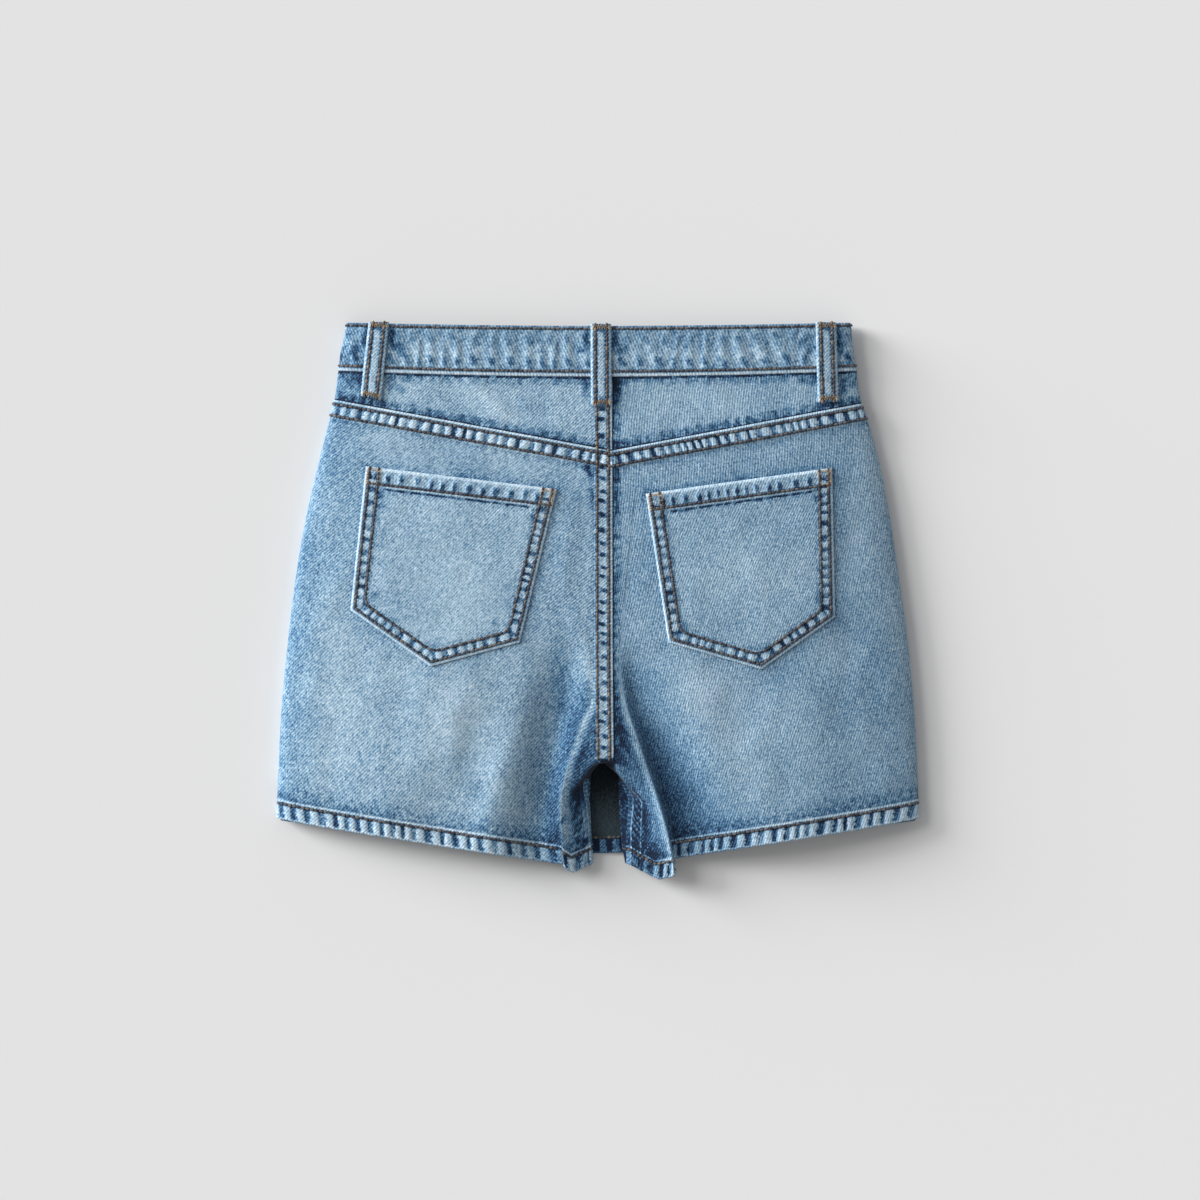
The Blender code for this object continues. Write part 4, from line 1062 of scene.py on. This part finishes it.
def new_rule(name, inputs):
    """A geometry tree, what it is given, and its lines as curves."""
    tree = bpy.data.node_groups.new(name, "GeometryNodeTree")
    inputs = {"Lines": "Geometry", **inputs, "Thread colour": "Material", "Seed": "Int"}
    for label, kind in inputs.items():
        tree.interface.new_socket(label, in_out="INPUT", socket_type="NodeSocket" + kind)
    tree.interface.new_socket("Thread", in_out="OUTPUT", socket_type="NodeSocketGeometry")
    given = tree.nodes.new("NodeGroupInput").outputs
    return tree, given, node(tree, "GeometryNodeMeshToCurve", {"Mesh": given["Lines"]}).outputs[0]


def end_rule(tree, given, thread, domain):
    """Give each length of thread its own tone, and all of it its finish."""
    tone = node(tree, "FunctionNodeRandomValue", {"Seed": given["Seed"]}).outputs[1]
    keep = node(tree, "GeometryNodeStoreNamedAttribute", domain=domain, data_type="FLOAT")
    feed(keep, {"Geometry": thread, "Name": "tone", "Value": tone})
    real = node(tree, "GeometryNodeRealizeInstances", {0: keep.outputs[0]})
    colour = {"Geometry": real.outputs[0], "Material": given["Thread colour"]}
    colour = node(tree, "GeometryNodeSetMaterial", colour)
    node(tree, "NodeGroupOutput", {0: colour.outputs[0]})
    return tree


def stitch_rule():
    """Stitches along lines: each takes the line's direction, and stands on the cloth."""
    tree, given, curve = new_rule("stitches", {"Pitch": "Float", "Stitch": "Object"})
    even = node(tree, "GeometryNodeResampleCurve", mode="LENGTH")
    feed(even, {"Curve": curve, "Length": given["Pitch"]})
    shape = {"Object": given["Stitch"], "As Instance": True}
    shape = node(tree, "GeometryNodeObjectInfo", shape).outputs["Geometry"]
    tangent = node(tree, "GeometryNodeInputTangent").outputs[0]
    out = node(tree, "GeometryNodeInputNamedAttribute", {"Name": "out"}, data_type="FLOAT_VECTOR")
    turn = "FunctionNodeAlignRotationToVector"
    along = node(tree, turn, {"Vector": tangent}, axis="X").outputs[0]
    upright = {"Rotation": along, "Vector": out.outputs["Attribute"]}
    upright = node(tree, turn, upright, axis="Z", pivot_axis="X").outputs[0]
    size = node(tree, "FunctionNodeRandomValue", data_type="FLOAT_VECTOR")
    feed(size, {0: (0.9, 0.85, 0.85), 1: (1.06, 1.1, 1.1), "Seed": given["Seed"]})
    place = {"Points": even.outputs[0], "Instance": shape, "Rotation": upright}
    place["Scale"] = size.outputs[0]
    place = node(tree, "GeometryNodeInstanceOnPoints", place)
    return end_rule(tree, given, place.outputs[0], "INSTANCE")


def cord_rule():
    """Thread that lies in its whole length on the cloth, as in a bar tack."""
    tree, given, curve = new_rule("tacks", {"Thickness": "Float"})
    ring = {"Resolution": 5, "Radius": given["Thickness"]}
    ring = node(tree, "GeometryNodeCurvePrimitiveCircle", ring).outputs[0]
    cord = {"Curve": curve, "Profile Curve": ring, "Fill Caps": True}
    cord = node(tree, "GeometryNodeCurveToMesh", cord)
    return end_rule(tree, given, cord.outputs[0], "POINT")


def sew(name, rule, lines, **inputs):
    """Make one piece of thread from lines, each a list of points and of normals."""
    mesh = bpy.data.meshes.new(name + "_lines")
    ends = np.cumsum([len(line) for line, _ in lines])
    first = np.setdiff1d(np.arange(ends[-1]), ends - 1)
    spots = np.concatenate([line for line, _ in lines]) * MM
    mesh.from_pydata(spots.tolist(), np.stack([first, first + 1], axis=1).tolist(), [])
    store(mesh, "out", np.concatenate([out for _, out in lines]))
    path = add_object(name + "_lines", mesh)
    modifier = path.modifiers.new("Thread", "NODES")
    modifier.node_group = rule
    for item in rule.interface.items_tree:
        label = item.name.lower().replace(" ", "_")
        if item.in_out == "INPUT" and label in inputs:
            modifier[item.identifier] = inputs[label]
    graph = bpy.context.evaluated_depsgraph_get()
    made_mesh = bpy.data.meshes.new_from_object(path.evaluated_get(graph))
    made_mesh.name = name
    path.modifiers.remove(modifier)
    bpy.data.objects.remove(path)
    made_mesh.shade_smooth()
    made = add_object(name, made_mesh)
    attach(made, "root")


def draped(flat, top):
    """Points laid on a piece's upper face: flat is their x and y, top the piece."""
    face = cells(*top.u.shape)
    tree = BVHTree.FromPolygons(top.grid.reshape(-1, 3).tolist(), face.tolist())
    spots, normals = [], []
    for x, y in flat:
        hit, normal, _, _ = tree.ray_cast(Vector((x, y, 200.0)), Vector((0, 0, -1)))
        if hit is not None:
            spots.append(hit)
            normals.append(normal if normal.z > 0 else -normal)
    return np.array(spots), np.array(normals)


def sampled(corners, step=1.0):
    """Points along a chain of corners, a step apart."""
    found = []
    for a, b in zip(corners, corners[1:]):
        count = max(int(np.linalg.norm(b - a) / step), 1)
        found += [mix(a, b, k / count) for k in range(count)]
    return np.array([*found, corners[-1]])


def tack(middle, turn, long, wide, pitch=0.8):
    """A bar tack's zigzag, as x and y: long is its length, in the direction of turn."""
    count = int(long / pitch)
    s = (np.arange(count + 1) / count - 0.5) * long
    side = np.where(np.arange(count + 1) % 2, 0.5, -0.5) * wide
    turn = np.radians(turn)
    x = middle[0] + s * np.cos(turn) - side * np.sin(turn)
    y = middle[1] + s * np.sin(turn) + side * np.cos(turn)
    return np.stack([x, y], axis=1)


def angle(way):
    return np.degrees(np.arctan2(way[1], way[0]))


# ---------------- the pieces


def segment_distance(x, y, a, b):
    """The distance to a line between two corners, and how far along it the nearest point is."""
    long = np.linalg.norm(b - a)
    way = (b - a) / long
    along = np.clip((x - a[0]) * way[0] + (y - a[1]) * way[1], 0, long)
    return np.hypot(x - a[0] - along * way[0], y - a[1] - along * way[1]), along


def pocket_shade(x, y):
    """The bluer cloth round the pockets, most of all above their top edges."""
    total = np.zeros(np.broadcast(x, y).shape)
    for corner in POCKET.values():
        for a, b in POCKET_EDGES.values():
            far, along = segment_distance(x, y, corner[a], corner[b])
            deep, wide = (0.26, 4.6) if a == "inner_top" else (0.15, 4.0)
            ends = 0.7 + 0.3 * uneven(along, 0 * along, 9.0, 5 + len(a))
            near = deep * ends * np.exp(-((far / wide) ** 2))
            total = np.maximum.reduce([total, near, 0.07 * np.exp(-((far / 13.0) ** 2))])
    return -total


def wear_and_shade(x, y):
    """How much paler or bluer the garment's back is at a place: wear, and painted shade and light.
    """
    spots = patches(SPOTS, x + 0.8 * uneven(x, y, 4.0, 7), y, 1.6)
    # Painted shade along the left sides and a little painted light along the right ones, where the
    # lamps light the rounded sides unevenly
    sides = np.where(x < 0, 0.14, -0.02) * ease((42 - from_sides(x, y)) / 42)
    return patches(WEAR_AND_SHADE, x, y) - spots + 0.03 * uneven(x, y, 38.0, 3) - sides


def creased(x, y):
    """The height of the creases that the solids leave out."""
    fine = 0.16 * uneven(x, y, 13.0, 11) + 0.28 * uneven(x, y, 34.0, 12)
    return (strokes(CREASES, x, y) + fine) * ease(from_sides(x, y) / 14)


def painted_crotch_shade(y):
    """Where the cloth round the top of the gap between the legs lies deep, which painted shade
    darkens nearly to black.
    """
    return ease((-111.0 - y) / 3) * ease((y + 131.0) / 8)


def back_piece(side):
    left = side == "left"
    us = runs(
        (0, 0.001, 2), (0.001, 0.006, 4), (0.006, 0.02, 6), (0.02, 0.06, 8),
        (0.06, AT_FOOT, 132), (AT_FOOT, 1, 4), (1, 2, 34),
    )  # fmt: skip
    vs = runs((0, 0.05, 14), (0.05, 0.7, 122), (0.7, 0.86, 40), (0.86, 0.955, 20), (0.955, 1, 17))
    piece = Cloth("back_" + side, lambda u, v: back_panel(side, u, v), us, vs)
    x, y, inner = piece.x, piece.y, piece.across_back
    above_crotch = ease((0.752 - piece.v) / 0.012)
    piece.band("yoke_seam", piece.down, piece.across, 7.4, 21 + len(side))
    piece.turn_hem(31 + len(side))
    period, seed, share = (8.2, 41, 1.0) if left else (9.0, 42, 0.8)
    piece.band("centre", inner, piece.down, period, seed, above_crotch * share)
    piece.band("inseam", inner, piece.down, 6.2, 43, ease((piece.v - 0.80) / 0.03))
    felled = window(inner, -5, FELL_WIDE) * above_crotch * left
    relief = np.maximum(window(piece.down, -5, FELL_WIDE), felled)
    ridge = read(FOLD[side], "ridge", y)
    inward = SIGN[side] * (ridge - x)
    beside = np.clip(-inward, 0, None)
    low_down = ease((-128.0 - y) / 30)
    # Painted shade: shadow darkens the cloth just outside each fold's ridge, and turned_dark the
    # cloth turning under into the gap. tent_dark darkens the tent above the crotch.
    if left:
        tent = ease((inward - 1.5) / 5) * ease((-64.0 - y) / 18)
        shadow = 0.26 * ease(beside / 3) * ease((17 - beside) / 13) * ease((-44.0 - y) / 26)
        tent_dark, turned_dark = 0.32 - 0.24 * low_down, 0.26 - 0.26 * low_down
    else:
        tent = 0.95 * ease((inward - 1.5) / 5) * ease((-34.0 - y) / 24)
        shadow = 0.25 * ease(beside / 2.5) * np.exp(-beside / 13) * ease((-36.0 - y) / 20)
        tent_dark, turned_dark = 0.26 - 0.06 * low_down, 0.26 - 0.14 * low_down
    inner_leg = piece.u > 1
    turned = ease((piece.u - 1.3) / 0.4) * ease((piece.v - 0.76) / 0.04)
    # Painted shade in the folds' valleys, deeper as they drop, and a thin painted highlight along
    # each ridge
    piece.fade = wear_and_shade(x, y) + pocket_shade(x, y) - 0.012 * dip(side, x, y) * ~inner_leg
    piece.fade += 0.04 * np.exp(-(((x - ridge) / 1.5) ** 2)) * ease((-48.0 - y) / 30) - shadow
    piece.fade -= (tent * tent_dark + turned * turned_dark) * (1 - felled)
    # Painted shade, nearly black, round the top of the gap between the legs
    piece.fade -= 0.8 * ease((piece.u - 1.62) / 0.2) * painted_crotch_shade(y)
    piece.raise_by(relief * FELL + creased(x, y) * np.where(inner_leg, 0.3, 1.0))
    piece.rope("yoke_seam", 3.2, 10.6, 0.26)
    piece.rope("hem", 0.8, 9.8, 0.34)
    if left:
        piece.rope("centre", 3.2, 10.4, 0.26)
    piece.settle()
    return piece


def yoke_piece(side):
    us = runs((0, 0.001, 2), (0.001, 0.008, 4), (0.008, 0.03, 5), (0.03, 1, 118))

    def surface(u, v):
        found = yoke(side, u, v)
        found[u >= 1, 0] += SIGN[side] * GAP / 2
        return found

    piece = Cloth("yoke_" + side, surface, us, runs((0, 1, 34)))
    x, y, inner = piece.x, piece.y, piece.across_back
    piece.band("waist_seam", piece.down, piece.across, 11.0, 51 + len(side), 0.7)
    piece.band("yoke_seam", piece.up, piece.across, 9.0, 53 + len(side))
    piece.band("centre", inner, piece.down, 9.6, 55)
    piece.fade = wear_and_shade(x, y)
    piece.raise_by(window(inner, -5, FELL_WIDE) * (side == "left") * FELL + creased(x, y))
    if side == "left":
        piece.rope("centre", 3.2, 10.4, 0.26)
    piece.settle()
    return piece


def waistband_piece():
    us = runs(
        (0, 1, 60), (1, 2, 10), (2, 2.004, 3), (2.004, 2.04, 6), (2.04, 3.96, 280),
        (3.96, 3.996, 6), (3.996, 4, 3), (4, 5, 10), (5, 6, 60),
    )  # fmt: skip
    piece = Cloth("waistband", waistband, us, runs((0, 1, 26)), BAND_WALL)
    piece.band("top", piece.down, piece.across, 12.5, 61, slant=-0.5)
    piece.band("low", piece.up, piece.across, 11.5, 62, slant=0.5)
    piece.fade = wear_and_shade(piece.x, piece.y) * ((piece.u >= 2) & (piece.u <= 4)) - 0.02
    piece.rope("low", 4.2, 24.0, 0.34)
    piece.rope("top", 3.0, 20.0, 0.16)
    piece.settle()
    return piece


def pocket_piece(side):
    us = runs((0, 1, 112))
    piece = Cloth("pocket_" + side, lambda u, v: pocket(side, u, v), us, us)
    corner = POCKET[side]
    x, y = piece.x, piece.y
    found = [segment_distance(x, y, corner[a], corner[b]) for a, b in POCKET_EDGES.values()]
    far = np.array([distance for distance, _ in found])
    for k, name in enumerate(POCKET_EDGES):
        others = np.delete(far, k, axis=0).min(axis=0)
        strength = ease((others - far[k]) / 1.6 + 0.5)
        period = 9.4 if name == "top" else 7.6
        piece.band(name, far[k], found[k][1], period, 71 + k + len(side), strength)
    piece.fade = wear_and_shade(x, y) + 0.02
    piece.raise_by(creased(x, y))
    piece.raise_by(0.35 * ease(far[0] / 2) * window(far[0], -5, 13.5, 1.5))
    piece.raise_by(-0.35 * ease((1.2 - far.min(axis=0)) / 1.2))
    for name in list(POCKET_EDGES)[1:]:
        piece.rope(name, 3.2, 9.0, 0.22)
    piece.rope("top", 3.4, 10.0, 0.22)
    piece.settle()
    return piece


def loop_piece(name, surface):
    piece = Cloth(name, surface, runs((0, 1, 26)), runs((0, 1, 76)), LOOP_WALL)
    left, right = piece.across, piece.across_back
    strength = window(piece.u, -1, 0.5, 0.06)
    piece.band("left", left, piece.down, 3.4, 81, strength)
    piece.band("right", right, piece.down, 3.4, 82, 1 - strength)
    middle = ease((left - 4.2) / 1.5) * ease((right - 4.2) / 1.5)
    ends = ease((7.0 - np.minimum(piece.down, LOOP_LONG - piece.down)) / 3.0)
    piece.fade = 0.13 * middle * (1 - ends) - 0.20 * ends * middle
    piece.raise_by(0.25 * middle - 0.3 * ease(1.0 - np.minimum(left, right)))
    piece.settle()
    return piece


def shorts_piece(side):
    us = runs((0, 1, 22), (1, 1.9, 56), (1.9, 2, 8))
    vs = runs((0, 0.7, 60), (0.7, 0.86, 34), (0.86, 0.955, 14), (0.955, 1, 12))
    piece = Cloth("shorts_front_" + side, lambda u, v: shorts_front(side, u, v), us, vs)
    piece.turn_hem(91)
    piece.band("inseam", piece.across, piece.down, 6.0, 92, ease((piece.v - 0.77) / 0.03))
    # Painted shade: the right front, seen only deep in the gap, is made far darker
    piece.fade = (-0.10 if side == "left" else -0.36) + 0.04 * uneven(piece.x, piece.y, 20.0, 13)
    # Painted shade, nearly black, round the top of the gap between the legs
    piece.fade -= 0.8 * painted_crotch_shade(piece.y) * (piece.u < 1)
    return piece


def skirt_piece():
    us = runs((-1, -SKIRT_FLAT, 10), (-SKIRT_FLAT, SKIRT_FLAT, 150), (SKIRT_FLAT, 1, 10))
    vs = runs((0, 0.15, 20), (0.15, 0.9, 64), (0.9, 1, 24))
    piece = Cloth("skirt_front", skirt_front, us, vs)
    piece.turn_hem(93, np.abs(piece.u) < 0.9)
    piece.fade = 0.03 * uneven(piece.x, piece.y, 40.0, 14)
    # Painted shade on the inside face, deeper up the panel towards the crotch
    piece.lining = -0.5 * ease((piece.y + 168.0) / 50.0) - 0.05
    piece.lining += window(piece.up, -5, HEM_DEEP, 1.0) * 1.6  # turned up, its outer face shows
    return piece


def inset(corners, distance):
    """A chain of corners moved inwards, each side by the same distance."""
    middle = np.mean(corners, axis=0)
    lines = []
    for a, b in zip(corners, corners[1:]):
        way = unit(b - a)
        across = np.array([-way[1], way[0]])
        lines.append((a + across * np.sign(across @ (middle - a)) * distance, way))
    found = [lines[0][0]]
    for (p, v), (q, w) in zip(lines, lines[1:]):
        found.append(p + v * np.linalg.solve(np.stack([v, -w], axis=1), q - p)[0])
    end, way = lines[-1]
    return [*found, end + way * np.linalg.norm(corners[-1] - corners[-2])]


def rounded(corners, radius):
    """A chain of corners with its inner corners rounded."""
    found = [corners[0]]
    for a, b, c in zip(corners, corners[1:], corners[2:]):
        start, end = b + unit(a - b) * radius, b + unit(c - b) * radius
        found += [mix(mix(start, b, s), mix(b, end, s), s) for s in np.linspace(0, 1, 7)]
    return [*found, corners[-1]]


def pocket_sewing(piece, side):
    """A pocket's stitch lines, one across its top and two round the rest, and its tacks: a small
    box of close stitches at each of its top corners."""
    corner = POCKET[side]
    chain = list(corner.values())
    top, tacks = [], []
    for here, there in (("outer_top", "inner_top"), ("inner_top", "outer_top")):
        way = unit(corner[there] - corner[here])
        down = np.array([way[1], -way[0]])
        down = -down if down[1] > 0 else down
        top.insert(0, corner[here] + down * POCKET_TOP_LINE + way * 3.6)
        start = corner[here] + way * 1.6 + down * 1.4
        wide, high = way * TACK_BOX[0], down * TACK_BOX[1]
        for middle, more, long in (
            (wide / 2, 0.0, TACK_BOX[0]),
            (wide / 2 + high, 0.0, TACK_BOX[0]),
            (high / 2, 90.0, TACK_BOX[1]),
            (wide + high / 2, 90.0, TACK_BOX[1]),
        ):
            tacks.append(draped(tack(start + middle, angle(way) + more, long, 1.7), piece))
    around = [top, inset(chain, 2.8), rounded(inset(chain, 9.4), 7.0)]
    return [draped(sampled(line), piece) for line in around], tacks


def loop_tacks(piece):
    """A bar of close stitches across each end of a loop."""
    lines = []
    for row in (0.035, 0.965):
        i = int(row * (piece.u.shape[0] - 1))
        a, b = piece.grid[i, 2], piece.grid[i, -3]
        spots = tack((a + b)[:2] / 2, angle(b - a), np.linalg.norm(b - a), 3.2)
        far = [np.argmin(np.hypot(piece.x - x, piece.y - y)) for x, y in spots]
        i, j = np.unravel_index(far, piece.u.shape)
        height = piece.grid[i, j, 2] + 0.2 * np.sign(piece.normal[i, j, 2])
        lines.append((np.column_stack([spots, height]), piece.normal[i, j]))
    return lines


def up_to_sides(line):
    """The part of a stitch line between the places where the cloth turns at the side seams."""
    spots, outward = line
    keep = np.abs(outward[:, 2]) > 0.35
    return spots[keep][2:-2], outward[keep][2:-2]


# ---------------- making


BACK_BANDS = {"yoke_seam": "felled", "hem": "hemmed"}
YOKE_BANDS = {"waist_seam": "covered_waist", "yoke_seam": "covered"}
POCKET_BANDS = {name: "pocket_top" if name == "top" else "pocket_side" for name in POCKET_EDGES}
finishes = {
    name: denim("denim_" + name, *numbers)
    for name, numbers in {
        "back_left": ({**BACK_BANDS, "centre": "centre", "inseam": "inseam_left"}, 50),
        "back_right": ({**BACK_BANDS, "centre": "covered", "inseam": "inseam_right"}, 112, 0.505),
        "yoke_left": ({**YOKE_BANDS, "centre": "centre"}, 48),
        "yoke_right": ({**YOKE_BANDS, "centre": "covered"}, 104, 0.52),
        "pocket_left": (POCKET_BANDS, 52, 0.525),
        "pocket_right": (POCKET_BANDS, 118, 0.5),
        "waistband": ({"top": "band_top", "low": "band_low"}, 128, 0.6),
        "loops": ({"left": "loop_side", "right": "loop_side"}, 48, 0.5),
        "shorts_front": ({"hem": "hemmed", "inseam": "inseam_left"}, 52),
        "skirt_front": ({"hem": "hemmed"}, 52, 0.54),
    }.items()
}
cut = []
lines, brown_lines, tacks = [], [], []


def lay_down(piece, finish, slot, rests_on):
    """Make a piece, and note its width and length in the flat, its area and what it lies on."""
    made = piece.make(finishes[finish], slot)
    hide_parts(piece.name)
    flat = piece.across.max() * MM, piece.down.max() * MM
    a, b = np.diff(piece.grid, axis=1)[:-1], np.diff(piece.grid, axis=0)[:, :-1]
    area = np.linalg.norm(np.cross(a, b), axis=-1).sum() * MM * MM
    cut.append((made, flat, area, rests_on))


for half in SIGN:
    back = back_piece(half)
    lay_down(back, back.name, "denim", ["shorts_front_" + half])
    lines += [up_to_sides(back.line("yoke_seam", distance)) for distance in FELL_LINES]
    lines.append(up_to_sides(back.line("hem", HEM_DEEP, back.u < 0.968)))
    lines.append(back.line("hem", HEM_DEEP, back.u >= 1))
    upper = yoke_piece(half)
    lay_down(upper, upper.name, "denim", ["shorts_front_" + half])
    if half == "left":
        for piece, where in ((back, back.v < 0.735), (upper, True)):
            brown_lines += [piece.line("centre", distance, where) for distance in FELL_LINES]
    patch = pocket_piece(half)
    lay_down(patch, patch.name, "denim", ["back_" + half])
    sewn, boxes = pocket_sewing(patch, half)
    lines += sewn
    tacks += boxes
    under = shorts_piece(half)
    lay_down(under, "shorts_front", "denim_front", ["skirt_front"])
    lines.append(up_to_sides(under.line("hem", HEM_DEEP)))

panel = skirt_piece()
lay_down(panel, "skirt_front", "denim_front", ["loop_front_left", "loop_front_right"])
spots, outward = up_to_sides(panel.line("hem", HEM_DEEP))
lines += [(spots, outward), (spots - outward * HEM_WALL, -outward)]

band = waistband_piece()
lay_down(band, "waistband", "waistband", ["loop_front_left", "loop_front_right"])
lines += [band.line("top", 1.0), band.line("low", EDGE_LINE)]

surfaces = {
    name: lambda u, v, row=row: back_loop(row, u, v) for row, name in enumerate(BACK_LOOP_NAMES)
}
for half, sign in SIGN.items():
    surfaces["loop_front_" + half] = lambda u, v, sign=sign: front_loop(sign, u, v)
for name, surface in surfaces.items():
    loop = loop_piece(name, surface)
    lay_down(loop, "loops", "waistband", ["waistband"])
    brown_lines += [loop.line(edge, EDGE_LINE) for edge in ("left", "right")]
    tacks += loop_tacks(loop)

thread = thread_finish("topstitch", (36, 37, 46), (70, 68, 72), (108, 102, 98))
brown_thread = thread_finish("brown", (48, 44, 48), (86, 78, 75), (132, 117, 100))
tack_thread = thread_finish("tack", (150, 112, 72), (200, 156, 100), (230, 196, 140))
shape = stitch_shape(STITCH_LONG, STITCH_THICK)
given = {"rule": stitch_rule(), "pitch": PITCH * MM, "stitch": shape, "seed": 4}
sew("topstitching", lines=lines, thread_colour=thread, **given)
sew("brown_topstitching", lines=brown_lines, thread_colour=brown_thread, **given)
bpy.data.objects.remove(shape)
sew("tacks", cord_rule(), tacks, thickness=TACK_RADIUS * MM, thread_colour=tack_thread, seed=5)

for made, flat, area, rests_on in cut:
    min(area, flat[0] * flat[1])


def button_head():
    """The waist button's head, outer face down: a rolled rim round a low dome."""
    radius, back = BUTTON_WIDE / 2, LIFT - GAP
    profile = (
        (radius, back), (1.2, back), (0.3, back - 0.35), (0, 1.15), (0.1, 0.6), (0.5, 0.18),
        (1.1, 0), (1.7, 0.16), (2, 0.5), (2.4, 0.56), (2.9, 0.36), (4, 0.22), (6, 0.12),
        (radius, 0.08),
    )  # fmt: skip
    turn = np.arange(56) / 56 * 2 * np.pi
    middle = sum(front_waist(0.0)) / 2
    rings = []
    for inwards, z in profile:
        r = radius - inwards
        around = turn if r else turn[:1]
        rings.append(points(r * np.cos(around), r * np.sin(around) + middle, z))
    mesh = joined_rings("button_head", rings)
    mesh.shade_smooth()
    mesh.materials.append(brass_finish())
    made = add_object("button_head", mesh)
    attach(made, "root")
    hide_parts("button")


button_head()

# ---------------- floor, light and camera


def floor(half=4.0, z=-0.0011):
    """A pale table, just below the lowest thread."""
    mesh = bpy.data.meshes.new("floor")
    corners = [(-half, -half, z), (half, -half, z), (half, half, z), (-half, half, z)]
    mesh.from_pydata(corners, [], [(0, 1, 2, 3)])
    finish, _, shader = new_finish("pale_table", 0.8)
    feed(shader, {"Base Color": (0.76, 0.76, 0.76, 1.0)})
    mesh.materials.append(finish)
    add_object("floor", mesh)


def soft_light(name, come_from, wide, strength):
    """A wide lamp so far away that it lights the whole table evenly."""
    lamp = bpy.data.lights.new(name, "SUN")
    lamp.angle = wide
    lamp.energy = strength
    made = add_object(name, lamp)
    made.location = come_from
    made.rotation_euler = Vector(come_from).to_track_quat("Z", "Y").to_euler()


def look_down():
    """The camera, straight above the garment, as far away as for a frame of 864 mm."""
    view = bpy.data.cameras.new("camera")
    view.lens = 250.0
    view.sensor_width = 36.0
    view.clip_end = 50.0
    made = add_object("camera", view)
    made.location = (1.44 * MM, 0.72 * MM, 6.0)
    bpy.context.scene.camera = made


floor()
soft_light("high_lamp", (-1.0, 0.5, 0.8), 0.5, 1.4)
soft_light("low_lamp", (-1.0, 0.42, 0.24), 0.5, 5.3)
world = bpy.context.scene.world or bpy.data.worlds.new("studio")
bpy.context.scene.world = world
world.use_nodes = True
feed(world.node_tree.nodes["Background"], {0: (1.0, 1.0, 1.0, 1.0), 1: 0.38})
bpy.context.scene.view_settings.view_transform = "Standard"
look_down()
